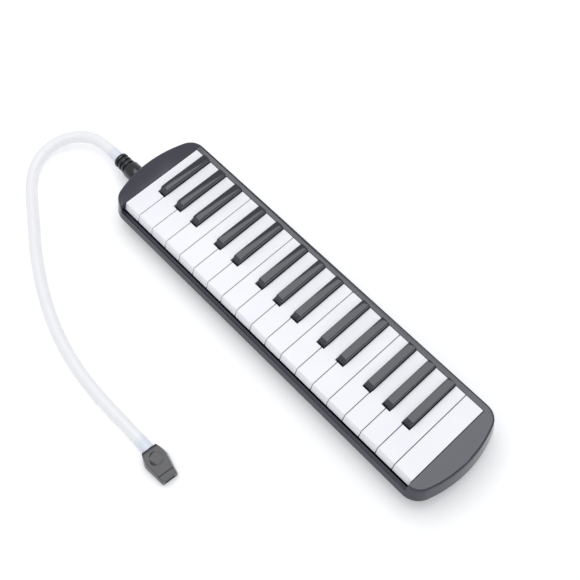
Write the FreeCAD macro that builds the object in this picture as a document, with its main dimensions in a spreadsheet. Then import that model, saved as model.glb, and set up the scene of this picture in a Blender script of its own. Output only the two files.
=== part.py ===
"""A 32-key melodica with its blowing hose, built as an assembly of separate pieces (millimetres).

+X runs along the keyboard towards the high notes, -Y towards the player and +Z up.  The origin is on
the surface the instrument stands on, under the middle of its case.
"""
import FreeCAD
import Part
import Sketcher
import math
import os
import re
from FreeCAD import Placement, Rotation, Vector

document = FreeCAD.newDocument("melodica")

SIZES = {
    # keyboard
    "key_pitch": (19.5, "distance between neighbouring white keys"),
    "key_gap": (0.7, "gap between neighbouring white keys"),
    "key_end_gap": (0.5, "gap between an end key and the case"),
    "key_rear_gap": (0.4, "gap between the keys and the rear rail"),
    "front_margin": (8.6, "distance from the case's front to the front edge of the white keys' top"),
    "rear_margin": (10.0, "distance from the keys' rear edge to the case's back"),
    "key_depth": (8.0, "depth of a white key's skirts"),
    "key_skin": (2.2, "thickness of a key's top"),
    "key_skirt": (1.6, "thickness of a key's side skirts"),
    "key_lean": (2.5, "how far the key's front face leans out at its foot"),
    "key_drop": (8.4, "height of the key's front face"),
    "hollow_share": (0.6, "share of the front face's lean that its hollow side follows"),
    "key_nose_radius": (1.6, "rounding between a white key's top and its front face"),
    "key_edge_radius": (0.5, "rounding along the other top edges of the keys"),
    "black_width": (8.6, "width of a black key at its foot"),
    "black_side_gap": (0.5, "gap between a black key and the white key beside it"),
    "black_front_gap": (1.6, "gap in front of a black key"),
    "black_length": (56.8, "length of a black key"),
    "black_rise": (5.5, "height of a black key's front above the white keys"),
    "black_rear_rise": (4.3, "height of a black key's rear above the white keys"),
    "black_depth": (7.0, "depth of a black key below the white keys' top"),
    "black_foot_rise": (0.9, "height of the small step at a black key's foot"),
    "black_foot_climb": (0.3, "climb of the step's top towards the slope behind it"),
    "black_foot_length": (1.2, "length of the small step at a black key's foot"),
    "black_slope_length": (3.2, "length from a black key's foot to its top edge"),
    "black_edge_radius": (1.1, "rounding along a black key's top edges"),
    "shift_f_sharp": (-3.9, "F sharp's place beside the line between F and G"),
    "shift_g_sharp": (-0.4, "G sharp's place beside the line between G and A"),
    "shift_a_sharp": (3.1, "A sharp's place beside the line between A and B"),
    "shift_c_sharp": (-2.3, "C sharp's place beside the line between C and D"),
    "shift_d_sharp": (1.9, "D sharp's place beside the line between D and E"),
    # lever, pivot and pad of each key
    "pivot_reach": (28.5, "distance from the key axle to the keys' rear edge"),
    "pivot_depth": (11.5, "depth of the key axle below the white keys' top"),
    "axle_radius": (1.5, "radius of the key axle"),
    "axle_clearance": (0.05, "radial clearance of a key on its axle"),
    "boss_radius": (3.0, "radius of a key's bearing boss"),
    "boss_width": (5.0, "width of a key's bearing boss"),
    "web_width": (2.4, "thickness of the web under a key"),
    "web_setback": (8.7, "distance from the web's front to the black keys' front"),
    "land_rise": (0.5, "height above the axle of the web's flat land that the spring lifts"),
    "land_front_reach": (19.0, "distance from the axle to the flat land's front end"),
    "land_rear_reach": (6.0, "distance from the axle to the flat land's rear end"),
    "web_foot_rise": (0.4, "height of the web's foot above the bottom of the bearing boss"),
    "web_knee_reach": (6.6, "distance from the axle to the bend in the web's underside"),
    "web_bite": (0.1, "how far the pad's carrier plate runs into the web"),
    "pad_reach": (11.5, "distance from the axle to the valve pads"),
    "pad_length": (12.0, "length of a valve pad"),
    "pad_width": (8.0, "width of a valve pad"),
    "pad_thickness": (2.0, "thickness of a valve pad"),
    "pad_edge": (1.0, "margin of the carrier plate around the pad"),
    "carrier_thickness": (2.0, "thickness of the plate that carries the pad"),
    "spring_thickness": (0.35, "thickness of a key spring's strip"),
    "spring_width": (2.6, "width of a key spring's strip"),
    "spring_foot_reach": (6.0, "distance from the axle to a key spring's foot"),
    "spring_tip_reach": (16.5, "distance from the axle to a key spring's tip"),
    "spring_foot_length": (4.5, "length of a key spring's foot"),
    "spring_tip_length": (2.2, "length of a key spring's flat tip"),
    # case
    "panel_length": (24.25, "length of the end panels beside the keyboard"),
    "case_width": (107.0, "overall width of the case"),
    "end_bow": (12.825, "how far the ends bow out across the case's width"),
    "corner_radius": (19.0, "radius of the four corners"),
    "seam_height": (20.0, "height of the seam between the two shells"),
    "deck_height": (40.0, "height of the end panels and of the white keys' top"),
    "deck_inset": (3.3, "how far the deck's edge lies inside the seam"),
    "deck_edge": (0.8, "height of the bevel round the deck's outer edge"),
    "base_height": (1.5, "height of the lower shell's underside"),
    "base_inset": (7.0, "how far the underside's edge lies inside the seam"),
    "base_edge": (2.0, "height of the bevel round the underside's edge"),
    "wall": (2.5, "wall of both shells"),
    "rim_depth": (10.0, "depth of the front rim below the deck"),
    "rim_gap": (0.9, "gap between the key fronts and the front rim"),
    "rim_lip": (2.5, "depth of the front rim's inner lip"),
    "rim_lip_bite": (0.6, "how far the rim's inner lip runs into the front wall"),
    "cheek": (2.0, "thickness of the upper shell's walls beside the end keys"),
    "cheek_bite": (0.2, "how far a cheek runs into the rim's inner lip"),
    "inlet_room": (0.5, "gap between a cheek and the wind chest or inlet box below it"),
    "stop_rib": (2.4, "thickness of the lower shell's rib under the key guide"),
    # key guide and its felt
    "guide_setback": (0.7, "distance from the keys' front edge to the key guide strip"),
    "guide_drop": (0.5, "depth of the key guide strip below the wind chest's top"),
    "guide_width": (12.0, "width of the key guide strip"),
    "guide_thickness": (4.0, "thickness of the key guide strip"),
    "guide_post_width": (5.0, "width of a guide post, inside its key"),
    "guide_post_length": (3.0, "length of a guide post along the key"),
    "guide_post_rise": (7.0, "height of a guide post above its strip"),
    "felt_width": (6.0, "width of the felt strip under the key fronts"),
    "felt_thickness": (3.0, "thickness of the felt strip"),
    # wind chest
    "chest_overhang": (2.75, "how far the wind chest reaches beyond the keyboard's ends"),
    "chest_drop": (4.5, "depth of the wind chest's top below the key axle"),
    "chest_setback": (22.9, "distance from the keys' front edge to the wind chest"),
    "chest_rear_gap": (0.5, "distance from the wind chest's back to the keys' rear edge"),
    "chest_roof": (2.5, "thickness of the wind chest's top"),
    "chest_side": (3.5, "thickness of the wind chest's outer walls"),
    "divider": (4.0, "thickness of the wall between the air duct and the reed cells"),
    "cell_wall": (1.6, "thickness of the walls between the reed cells"),
    "slot_length": (8.0, "length of an outlet slot"),
    "slot_width": (5.0, "width of an outlet slot"),
    "lug_width": (2.5, "width of an axle bearing"),
    "lug_rise": (1.2, "material of a bearing above the axle"),
    "lug_length": (8.0, "length of an axle bearing"),
    "cover_thickness": (2.0, "thickness of the wind chest's cover"),
    "gasket_thickness": (0.8, "thickness of the cover's gasket"),
    # reeds
    "chamber_height": (6.2, "height of the air chamber under the reed plates"),
    "reed_setback": (9.0, "distance from the reeds' fixed end to the key axle"),
    "plate_thickness": (1.2, "thickness of the reed plates"),
    "plate_gap": (2.0, "gap between the two reed plates"),
    "plate_margin": (0.3, "gap between the reed plates and the chest's walls"),
    "plate_ledge": (1.2, "width of the ledge that holds the plates' rear edge"),
    "ledge_thickness": (1.2, "thickness of the ledge that holds the plates' rear edge"),
    "ledge_gap": (0.1, "gap between the ledge and the plates"),
    "reed_long": (28.0, "free length of the lowest reed"),
    "reed_short": (12.0, "free length of the highest reed"),
    "reed_width": (2.3, "width of a reed"),
    "reed_thickness": (0.3, "thickness of a reed"),
    "reed_foot": (4.0, "length of a reed's riveted foot"),
    "reed_slot_gap": (0.15, "gap around a reed in its slot"),
    "rivet_radius": (0.8, "radius of a reed rivet"),
    "rivet_head_radius": (1.12, "radius of a reed rivet's head"),
    "rivet_head": (0.5, "height of a reed rivet's head"),
    # air inlet
    "inlet_setback": (11.0, "distance from the wind chest's front to the blow socket's axis"),
    "inlet_box_length": (13.0, "length of the chest's inlet box"),
    "inlet_box_size": (21.0, "width and height of the chest's inlet box"),
    "inlet_box_wall": (2.0, "wall of the chest's inlet box"),
    "inlet_passage": (6.0, "half width of the passage from the inlet box into the chest"),
    "socket_radius": (9.5, "outer radius of the blow socket"),
    "socket_bore": (6.4, "bore of the blow socket"),
    "socket_reach": (0.3, "how far the blow socket stands out of the case"),
    "socket_flange_radius": (11.0, "radius of the flange that locks the socket in the case"),
    "socket_flange": (2.0, "thickness of the socket's flange"),
    "socket_fit": (0.1, "gap between the socket and the case"),
    "seal_radius": (1.0, "section radius of the socket's sealing ring"),
    "seal_inset": (0.6, "how far outside the socket's bore the sealing ring sits"),
    # hose connector
    "plug_clearance": (0.06, "radial clearance of the connector's plug in the socket"),
    "plug_length": (10.0, "length of the connector's plug"),
    "barrel_radius": (9.2, "radius of the connector's barrel"),
    "barrel_length": (15.3, "length of the connector's barrel"),
    "collar_radius": (7.9, "radius of the connector's collars"),
    "collar_length": (2.6, "length of a collar"),
    "neck_radius": (6.5, "radius of the connector's neck between the collars"),
    "neck_length": (2.2, "length of the neck between two collars"),
    "end_collar_length": (3.4, "length of the collar at the hose"),
    "nozzle_radius": (4.4, "radius of the nozzles inside the hose"),
    "nozzle_length": (12.0, "length of the nozzles inside the hose"),
    "air_bore": (3.2, "radius of the airway in the connector and the mouthpiece"),
    # hose and mouthpiece
    "hose_diameter": (12.0, "outer diameter of the hose"),
    "hose_bore": (9.0, "inner diameter of the hose"),
    "hose_straight": (13.0, "length of the hose's straight run over the connector's nozzle"),
    "mouthpiece_length": (31.5, "length of the mouthpiece"),
    "mouthpiece_rear_width": (14.6, "width of the mouthpiece at the hose"),
    "mouthpiece_width": (23.0, "greatest width of the mouthpiece"),
    "mouthpiece_front_width": (15.6, "width of the mouthpiece at the lips"),
    "mouthpiece_shoulder": (8.5, "distance from the hose to the mouthpiece's widest part"),
    "mouthpiece_rear_height": (13.4, "height of the mouthpiece at the hose"),
    "mouthpiece_front_height": (8.4, "height of the mouthpiece at the lips"),
    "mouthpiece_lip": (5.0, "length of the mouthpiece's thinner lip"),
    "mouthpiece_lip_step": (0.8, "depth of the step behind the lip"),
    "mouthpiece_lip_fall": (0.4, "fall of the lip's top towards its end"),
    "mouthpiece_bevel": (2.6, "width of the bevel along the mouthpiece's sides"),
    "mouth_slot_width": (10.0, "width of the slot that is blown into"),
    "mouth_slot_height": (3.0, "height of the slot that is blown into"),
    "socket_depth": (15.5, "depth of the bore that holds the hose and carries the air on"),
    "resting_gap": (0.1, "gap between the hose or mouthpiece and the surface"),
    # water drain
    "drain_inset": (27.25, "distance from the keyboard's high end to the drain button"),
    "drain_travel_room": (4.4, "distance from the wind chest to the drain button's cap"),
    "drain_button_radius": (3.5, "radius of the drain button"),
    "drain_fit": (0.25, "gap around the drain button"),
    "drain_cap_length": (5.6, "length of the drain button's cap"),
    "drain_stem_radius": (1.0, "radius of the drain button's stem"),
    "drain_hole_radius": (2.0, "radius of the drain hole in the chest"),
    "drain_seal_radius": (2.8, "radius of the drain seal"),
    "drain_seal_thickness": (1.2, "thickness of the drain seal"),
    "drain_seal_room": (0.4, "gap around the drain seal in the chest"),
    "drain_head_inset": (0.4, "how much smaller the stem's head is than the seal, in radius"),
    "drain_head": (0.8, "thickness of the stem's head behind the seal"),
    "drain_spring_wire": (0.25, "wire radius of the drain spring"),
    "drain_spring_radius": (1.9, "mean radius of the drain spring"),
    "drain_spring_pitch": (1.25, "pitch of the drain spring"),
    # fasteners and feet
    "screw_inset": (6.65, "distance from the keyboard's opening to the case screws"),
    "front_screw_reach": (19.0, "distance from the blow socket's axis to the front case screws"),
    "middle_screw_reach": (23.0, "distance from the blow socket's axis to the middle case screws"),
    "rear_screw_reach": (41.0, "distance from the blow socket's axis to the rear case screws"),
    "foot_inset": (42.0, "distance from the case's ends to the feet"),
    "case_screw_radius": (1.5, "radius of a case screw"),
    "case_screw_head": (3.0, "radius of a case screw's head"),
    "screw_sink": (0.5, "depth of a case screw's head inside its hole"),
    "case_screw_head_height": (2.0, "height of a case screw's head"),
    "case_screw_bite": (9.0, "length of a case screw in the upper shell"),
    "case_screw_room": (0.3, "gap around a case screw's head"),
    "case_screw_fit": (0.2, "gap around a case screw's shank in the lower shell"),
    "case_screw_tip_gap": (0.4, "length of the pilot hole beyond a case screw's tip"),
    "cross_reach": (1.95, "reach of the cross in a case screw's head"),
    "cross_half": (0.4, "half width of the cross in a case screw's head"),
    "cross_depth": (1.0, "depth of the cross in a case screw's head"),
    "boss_gap": (0.4, "gap between the screw bosses of the two shells"),
    "case_boss": (3.8, "radius of the screw bosses"),
    "chest_screw_radius": (1.0, "radius of a chest screw"),
    "chest_screw_head": (1.7, "radius of a chest screw's head"),
    "chest_screw_head_height": (1.0, "height of a chest screw's head"),
    "chest_screw_length": (8.0, "length of a chest screw"),
    "chest_screw_fit": (0.1, "gap around a chest screw and its head"),
    "plate_screw_radius": (0.9, "radius of a reed plate screw"),
    "plate_screw_head": (1.6, "radius of a reed plate screw's head"),
    "plate_screw_head_height": (0.8, "height of a reed plate screw's head"),
    "plate_screw_length": (5.0, "length of a reed plate screw"),
    "plate_screw_fit": (0.1, "gap around a reed plate screw"),
    "plate_screw_tip_gap": (0.8, "length of the pilot hole beyond a reed plate screw's tip"),
    "foot_radius": (6.0, "radius of a rubber foot"),
    "foot_recess": (0.8, "depth of the recess that holds a foot"),
    "foot_fit": (0.15, "gap around a foot in its recess"),
    "foot_y": (32.0, "distance of the feet from the middle across the case"),
    # how pieces are joined and cut
    "overlap": (0.5, "how far blocks of one piece run into each other"),
    "overcut": (1.0, "how far a cut reaches beyond what it cuts"),
}

WHITE_KEYS = 19
HALF_KEYBOARD = WHITE_KEYS / 2

# Places that follow from the sizes above.
PLACES = {
    "keyboard_end": f"key_pitch * {HALF_KEYBOARD}",
    "opening_end": "keyboard_end + key_end_gap",
    "case_end": "opening_end + panel_length",
    "end_radius": "((case_width / 2) ^ 2 + end_bow ^ 2) / (2 * end_bow)",
    "key_front": "front_margin - case_width / 2",
    "key_rear": "case_width / 2 - rear_margin",
    "skirt_foot": "deck_height - key_depth",
    "black_front": "key_rear - black_length",
    "pivot_y": "key_rear - pivot_reach",
    "pivot_height": "deck_height - pivot_depth",
    "web_front": "black_front - web_setback",
    "web_land": "pivot_height + land_rise",
    "web_land_front": "pivot_y - land_front_reach",
    "web_land_rear": "pivot_y - land_rear_reach",
    "pad_front": "pivot_y + pad_reach",
    "carrier_top": "chest_top + pad_thickness + carrier_thickness",
    "carrier_rear": "pad_front + pad_length + pad_edge",
    "spring_foot_rear": "pivot_y - spring_foot_reach",
    "spring_tip": "pivot_y - spring_tip_reach",
    "rim_height": "deck_height - rim_depth",
    "rim_inner": "key_front - key_lean - rim_gap",
    "deck_slope": "deck_inset / (deck_height - seam_height)",
    "base_slope": "base_inset / (seam_height - base_height)",
    "case_floor": "base_height + wall",
    "case_ceiling": "deck_height - wall",
    "chest_end": "keyboard_end + chest_overhang",
    "chest_inside": "chest_end - chest_side",
    "chest_front": "key_front + chest_setback",
    "chest_rear": "key_rear - chest_rear_gap",
    "chest_rear_inside": "chest_rear - chest_side",
    "chest_top": "pivot_height - chest_drop",
    "chest_ceiling": "chest_top - chest_roof",
    "cover_top": "case_floor + cover_thickness",
    "chest_foot": "cover_top + gasket_thickness",
    "lug_top": "pivot_height + axle_radius + lug_rise",
    "guide_front": "key_front + guide_setback",
    "guide_top": "chest_top - guide_drop",
    "guide_foot": "guide_top - guide_thickness",
    "slot_front": "pad_front + (pad_length - slot_length) / 2",
    "plate_height": "chest_foot + chamber_height",
    "plate_top": "plate_height + plate_thickness",
    "reed_root": "pivot_y - reed_setback",
    "rivet_y": "reed_root - reed_foot / 2",
    "divider_y": "reed_root - reed_foot - divider",
    "plate_screw_y": "divider_y + divider / 2",
    "inlet_y": "chest_front + inlet_setback",
    "inlet_height": "seam_height",
    "inlet_box_front": "0 - chest_end - inlet_box_length",
    "cheek_foot": "max(inlet_height + inlet_box_size / 2; chest_top) + inlet_room",
    "connector_body": "barrel_length + 3 * neck_length + 2 * collar_length + end_collar_length",
    "drain_x": "keyboard_end - drain_inset",
    "drain_height": "(chest_foot + plate_height) / 2",
    "drain_cap_inner": "chest_rear + drain_travel_room",
    "case_screw_x": "opening_end + screw_inset",
    "screw_seat": "base_height + case_screw_head_height + screw_sink",
    "foot_x": "case_end - foot_inset",
}
# The line between two white keys that each black key straddles, counted from the low end.
BLACK_LINES = {
    1: "shift_f_sharp",
    2: "shift_g_sharp",
    3: "shift_a_sharp",
    5: "shift_c_sharp",
    6: "shift_d_sharp",
    8: "shift_f_sharp",
    9: "shift_g_sharp",
    10: "shift_a_sharp",
    12: "shift_c_sharp",
    13: "shift_d_sharp",
    15: "shift_f_sharp",
    16: "shift_g_sharp",
    17: "shift_a_sharp",
}
# The axle's bearings stand on the lines that carry no black key, and at both ends.
BEARING_LINES = (0, 4, 7, 11, 14, 18, WHITE_KEYS)
CASE_SCREW_Y = ("inlet_y - front_screw_reach", "inlet_y + middle_screw_reach", "inlet_y + rear_screw_reach")
CHEST_SCREWS_PER_SIDE = 7
PLATE_SCREWS_PER_PLATE = 6
# Each bend of the hose takes this share of the shorter of the two straight runs it joins.
ARC_SHARE = 0.45
# Places closer together than this count as the same.
TOLERANCE = 0.01

sheet = document.addObject("Spreadsheet::Sheet", "Sizes")
for row, (alias, (value, meaning)) in enumerate(SIZES.items(), start=1):
    sheet.set(f"A{row}", alias)
    sheet.set(f"B{row}", str(value))
    sheet.set(f"C{row}", meaning)
    sheet.setAlias(f"B{row}", alias)
document.recompute()

WORD = re.compile(r"[a-z]+(?:_[a-z]+)*")


def formula(text):
    """The text as an expression: each place written out, and each size pointed at its cell."""

    def spell_out(word):
        name = word[0]
        if name in PLACES:
            return f"({formula(PLACES[name])})"
        return f"Sizes.{name}" if name in SIZES else name

    return WORD.sub(spell_out, str(text))


def number(text):
    """The value of a formula now."""
    return float(sheet.evalExpression(formula(text)))


def bind(item, field, text):
    item.setExpression(field, formula(text))


# ---------------------------------------------------------------------------------------------
# Building blocks.  Every length and place is a formula on the sheet's sizes.
# ---------------------------------------------------------------------------------------------
AXIS_TURN = {
    "x": Rotation(Vector(0, 1, 0), 90),
    "y": Rotation(Vector(1, 0, 0), -90),
    "z": Rotation(),
}


def add(kind, label="piece"):
    return document.addObject(kind, label)


def box(x_span, y_span, z_span):
    """A block between the two ends given along each axis."""
    block = add("Part::Box", "block")
    spans = (x_span, y_span, z_span)
    for field, axis, (low, high) in zip(("Length", "Width", "Height"), "xyz", spans):
        bind(block, field, f"({high}) - ({low})")
        bind(block, f"Placement.Base.{axis}", low)
    return block


def rod(axis, radius, place, length):
    """A round rod that starts at a place and runs along +axis."""
    bar = add("Part::Cylinder", "rod")
    bar.Placement = Placement(Vector(), AXIS_TURN[axis])
    bind(bar, "Radius", radius)
    bind(bar, "Height", length)
    for name, text in zip("xyz", place):
        bind(bar, f"Placement.Base.{name}", text)
    return bar


def ring(axis, radius, section, place):
    """A round sealing ring about an axis."""
    band = add("Part::Torus", "ring")
    band.Placement = Placement(Vector(), AXIS_TURN[axis])
    bind(band, "Radius1", radius)
    bind(band, "Radius2", section)
    for name, text in zip("xyz", place):
        bind(band, f"Placement.Base.{name}", text)
    return band


def gather(pieces, label="group"):
    """Separate solids kept side by side."""
    group = add("Part::Compound", label)
    group.Links = list(pieces)
    return group


def fuse(pieces, label="joined"):
    joined = add("Part::MultiFuse", label)
    joined.Shapes = list(pieces)
    joined.Refine = True
    return joined


def cut(base, tools, label="cut"):
    """The base less every tool; the tools don't overlap each other unless they are fused."""
    result = add("Part::Cut", label)
    result.Base = base
    result.Tool = tools[0] if len(tools) == 1 else gather(tools)
    return result


def plane(body, role):
    return next(item for item in body.Origin.OriginFeatures if item.Role == role)


def drawing_on(body, role, offset):
    """An empty sketch on one of the body's own origin planes, shifted along its normal."""
    drawing = body.newObject("Sketcher::SketchObject", "outline")
    drawing.AttachmentSupport = (plane(body, role), "")
    drawing.MapMode = "FlatFace"
    bind(drawing, "AttachmentOffset.Base.z", offset)
    return drawing


def fix_distance(drawing, kind, geometry, point, text):
    """Hold one point at a distance from the sketch's origin along its X or Y."""
    value = number(text)
    index = drawing.addConstraint(Sketcher.Constraint(kind, -1, 1, geometry, point, value))
    bind(drawing, f"Constraints[{index}]", text)


def polygon(body, role, corners, offset="0"):
    """A closed outline of straight edges, with both coordinates of every corner held by a formula."""
    drawing = drawing_on(body, role, offset)
    places = [Vector(number(across), number(up), 0) for across, up in corners]
    count = len(places)
    for here, start in enumerate(places):
        drawing.addGeometry(Part.LineSegment(start, places[(here + 1) % count]), False)
    for here in range(count):
        following = (here + 1) % count
        drawing.addConstraint(Sketcher.Constraint("Coincident", here, 2, following, 1))
    for here, (across, up) in enumerate(corners):
        fix_distance(drawing, "DistanceX", here, 1, across)
        fix_distance(drawing, "DistanceY", here, 1, up)
    return drawing


def feature(body, kind, drawing, length=None, reverse=False, midplane=False, through=False):
    """A pad or pocket of a sketch."""
    made = body.newObject(kind, "feature")
    made.Profile = drawing
    made.Reversed = reverse
    if midplane:
        made.Midplane = True
    if through:
        made.Type = "ThroughAll"
    if length is not None:
        bind(made, "Length", length)
    body.Tip = made
    document.recompute()
    return made


def round_edges(body, chosen, radius):
    """Round the edges of the body that the test picks."""
    base = body.Tip
    names = [f"Edge{index}" for index, edge in enumerate(base.Shape.Edges, start=1) if chosen(edge)]
    if not names:
        raise RuntimeError(f"{body.Label}: no edge to round")
    rounding = body.newObject("PartDesign::Fillet", "rounding")
    rounding.Base = (base, names)
    bind(rounding, "Radius", radius)
    body.Tip = rounding
    document.recompute()
    return rounding


# ---------------------------------------------------------------------------------------------
# Keyboard layout
# ---------------------------------------------------------------------------------------------
def line(count):
    """X of the line between two white keys, counted from the low end."""
    return f"({count} - {HALF_KEYBOARD}) * key_pitch"


def black_centre(count):
    return f"({line(count)} + {BLACK_LINES[count]})"


def narrow_side(count, sign):
    """Edge of the part of a white key between the black keys, on the given side of a line."""
    if count in BLACK_LINES:
        return f"({black_centre(count)} + ({sign}) * (black_width / 2 + black_side_gap))"
    return wide_side(count, sign)


def wide_side(count, sign):
    """Edge of the wide front part of a white key, on the given side of a line."""
    if count in (0, WHITE_KEYS):
        return f"({line(count)})"
    return f"({line(count)} + ({sign}) * key_gap / 2)"


def white_station(index):
    """X of a white key's web: the middle of its narrow part."""
    return f"(({narrow_side(index, 1)}) + ({narrow_side(index + 1, -1)})) / 2"


def stations():
    """(node name, x of its web) of every key, from low to high."""
    keys = []
    blacks = 0
    for index in range(WHITE_KEYS):
        keys.append((f"white_key_{index + 1:02d}", white_station(index)))
        if index + 1 in BLACK_LINES:
            blacks += 1
            keys.append((f"black_key_{blacks:02d}", black_centre(index + 1)))
    return keys


KEYS = stations()


def pad_of(station):
    """The soft valve pad glued under a key's carrier plate."""
    half = "pad_width / 2"
    return box(
        (f"{station} - {half}", f"{station} + {half}"),
        ("pad_front", "pad_front + pad_length"),
        ("chest_top", "chest_top + pad_thickness"),
    )


def pivot_circle(body, station, radius):
    """A circle about the axle, drawn across it at the key's web."""
    drawing = drawing_on(body, "YZ_Plane", station)
    centre = Vector(number("pivot_y"), number("pivot_height"), 0)
    drawing.addGeometry(Part.Circle(centre, Vector(0, 0, 1), number(radius)), False)
    fix_distance(drawing, "DistanceX", 0, 3, "pivot_y")
    fix_distance(drawing, "DistanceY", 0, 3, "pivot_height")
    size = drawing.addConstraint(Sketcher.Constraint("Radius", 0, number(radius)))
    bind(drawing, f"Constraints[{size}]", radius)
    return drawing


def lever_of(body, station, front, roof):
    """The web, bearing boss and pad carrier under a key."""
    web = polygon(
        body,
        "YZ_Plane",
        [
            (front, roof),
            (front, "web_land + (skirt_foot - web_land) * 2"),
            ("web_land_front", "web_land"),
            ("web_land_rear", "web_land"),
            ("pivot_y - boss_radius", "pivot_height - boss_radius + web_foot_rise"),
            ("pivot_y + boss_radius", "pivot_height - boss_radius + web_foot_rise"),
            ("pivot_y + web_knee_reach", "carrier_top - web_bite"),
            ("carrier_rear", "carrier_top - web_bite"),
            ("carrier_rear", roof),
        ],
        offset=station,
    )
    feature(body, "PartDesign::Pad", web, "web_width", midplane=True)
    boss = pivot_circle(body, station, "boss_radius")
    feature(body, "PartDesign::Pad", boss, "boss_width", midplane=True)
    half = "pad_width / 2"
    carrier = polygon(
        body,
        "XY_Plane",
        [
            (f"{station} - {half}", "pad_front - pad_edge"),
            (f"{station} + {half}", "pad_front - pad_edge"),
            (f"{station} + {half}", "carrier_rear"),
            (f"{station} - {half}", "carrier_rear"),
        ],
        offset="chest_top + pad_thickness",
    )
    feature(body, "PartDesign::Pad", carrier, "carrier_thickness")
    hole = pivot_circle(body, station, "axle_radius + axle_clearance")
    feature(body, "PartDesign::Pocket", hole, "boss_width * 2", midplane=True)


def white_plan(index, inset, front):
    """Outline of a white key from above, drawn in by an inset."""
    left = f"({wide_side(index, 1)} + {inset})"
    right = f"({wide_side(index + 1, -1)} - {inset})"
    corners = [(left, front), (right, front)]
    shoulder = f"(black_front - black_front_gap - {inset})"
    narrow_right = f"({narrow_side(index + 1, -1)} - {inset})"
    narrow_left = f"({narrow_side(index, 1)} + {inset})"
    rear = f"(key_rear - {inset})"
    if index + 1 in BLACK_LINES:
        corners += [(right, shoulder), (narrow_right, shoulder)]
    corners += [(narrow_right, rear), (narrow_left, rear)]
    if index in BLACK_LINES:
        corners += [(narrow_left, shoulder), (left, shoulder)]
    return corners


def is_nose(edge):
    """Whether an edge is the one between a white key's top and its front face."""
    middle = edge.CenterOfMass
    high = abs(middle.z - number("deck_height")) < TOLERANCE
    return high and abs(middle.y - number("key_front")) < TOLERANCE


def is_side_top(edge):
    """Whether an edge runs along a key's top from front to rear."""
    start, end = (vertex.Point for vertex in (edge.Vertexes[0], edge.Vertexes[-1]))
    level = abs(start.z - end.z) < TOLERANCE and abs(start.z - number("deck_height")) < TOLERANCE
    return level and abs(start.x - end.x) < TOLERANCE and abs(start.y - end.y) > number("key_skirt")


def make_white_key(index):
    """A white key: a hollow cap with a leaning front face, on its lever."""
    label = f"white_key_{index + 1:02d}"
    body = add("PartDesign::Body", f"{label}_lever")
    front = "(key_front - key_lean)"
    cap = polygon(body, "XY_Plane", white_plan(index, "0", front), offset="skirt_foot")
    feature(body, "PartDesign::Pad", cap, "key_depth")
    hollow_front = "(key_front + key_skirt - key_lean * hollow_share)"
    hollow = polygon(body, "XY_Plane", white_plan(index, "key_skirt", hollow_front), offset="skirt_foot")
    feature(body, "PartDesign::Pocket", hollow, "key_depth - key_skin", reverse=True)
    lip = polygon(
        body,
        "XY_Plane",
        [
            (wide_side(index, 1), front),
            (wide_side(index + 1, -1), front),
            (wide_side(index + 1, -1), f"{front} + key_skirt"),
            (wide_side(index, 1), f"{front} + key_skirt"),
        ],
        offset="deck_height - key_drop",
    )
    feature(body, "PartDesign::Pad", lip, "key_drop - key_skin / 2")
    face = polygon(
        body,
        "YZ_Plane",
        [
            ("key_front", "deck_height"),
            (front, "deck_height - key_drop"),
            (f"{front} - overcut", "deck_height - key_drop"),
            (f"{front} - overcut", "deck_height + overcut"),
            ("key_front", "deck_height + overcut"),
        ],
        offset=white_station(index),
    )
    feature(body, "PartDesign::Pocket", face, "key_pitch * 2", midplane=True)
    round_edges(body, is_nose, "key_nose_radius")
    round_edges(body, is_side_top, "key_edge_radius")
    lever_of(body, white_station(index), "web_front", "deck_height - key_skin / 2")
    return gather([body, pad_of(white_station(index))], label)


def is_black_top(edge):
    """Whether an edge belongs to the outline of a black key's top."""
    start, end = (vertex.Point for vertex in (edge.Vertexes[0], edge.Vertexes[-1]))
    low = number("deck_height + black_rear_rise") - TOLERANCE
    return min(start.z, end.z) > low and abs(start.x - end.x) < TOLERANCE


def make_black_key(serial, count):
    """A black key: a hollow cap with a sloped front above a small foot, on its lever."""
    label = f"black_key_{serial:02d}"
    station = black_centre(count)
    body = add("PartDesign::Body", f"{label}_lever")
    foot = "deck_height - black_depth"
    profile = polygon(
        body,
        "YZ_Plane",
        [
            ("black_front", foot),
            ("black_front", "deck_height + black_foot_rise"),
            ("black_front + black_foot_length", "deck_height + black_foot_rise + black_foot_climb"),
            ("black_front + black_slope_length", "deck_height + black_rise"),
            ("key_rear", "deck_height + black_rear_rise"),
            ("key_rear", foot),
        ],
        offset=station,
    )
    feature(body, "PartDesign::Pad", profile, "black_width", midplane=True)
    round_edges(body, is_black_top, "black_edge_radius")
    half = "(black_width / 2 - key_skirt)"
    hollow = polygon(
        body,
        "XY_Plane",
        [
            (f"{station} - {half}", "black_front + black_slope_length"),
            (f"{station} + {half}", "black_front + black_slope_length"),
            (f"{station} + {half}", "key_rear - key_skirt"),
            (f"{station} - {half}", "key_rear - key_skirt"),
        ],
        offset=foot,
    )
    feature(body, "PartDesign::Pocket", hollow, "black_depth + black_rear_rise - key_skin", reverse=True)
    roof = "deck_height + black_rear_rise - key_skin / 2"
    lever_of(body, station, "black_front + black_slope_length", roof)
    return gather([body, pad_of(station)], label)


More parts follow.
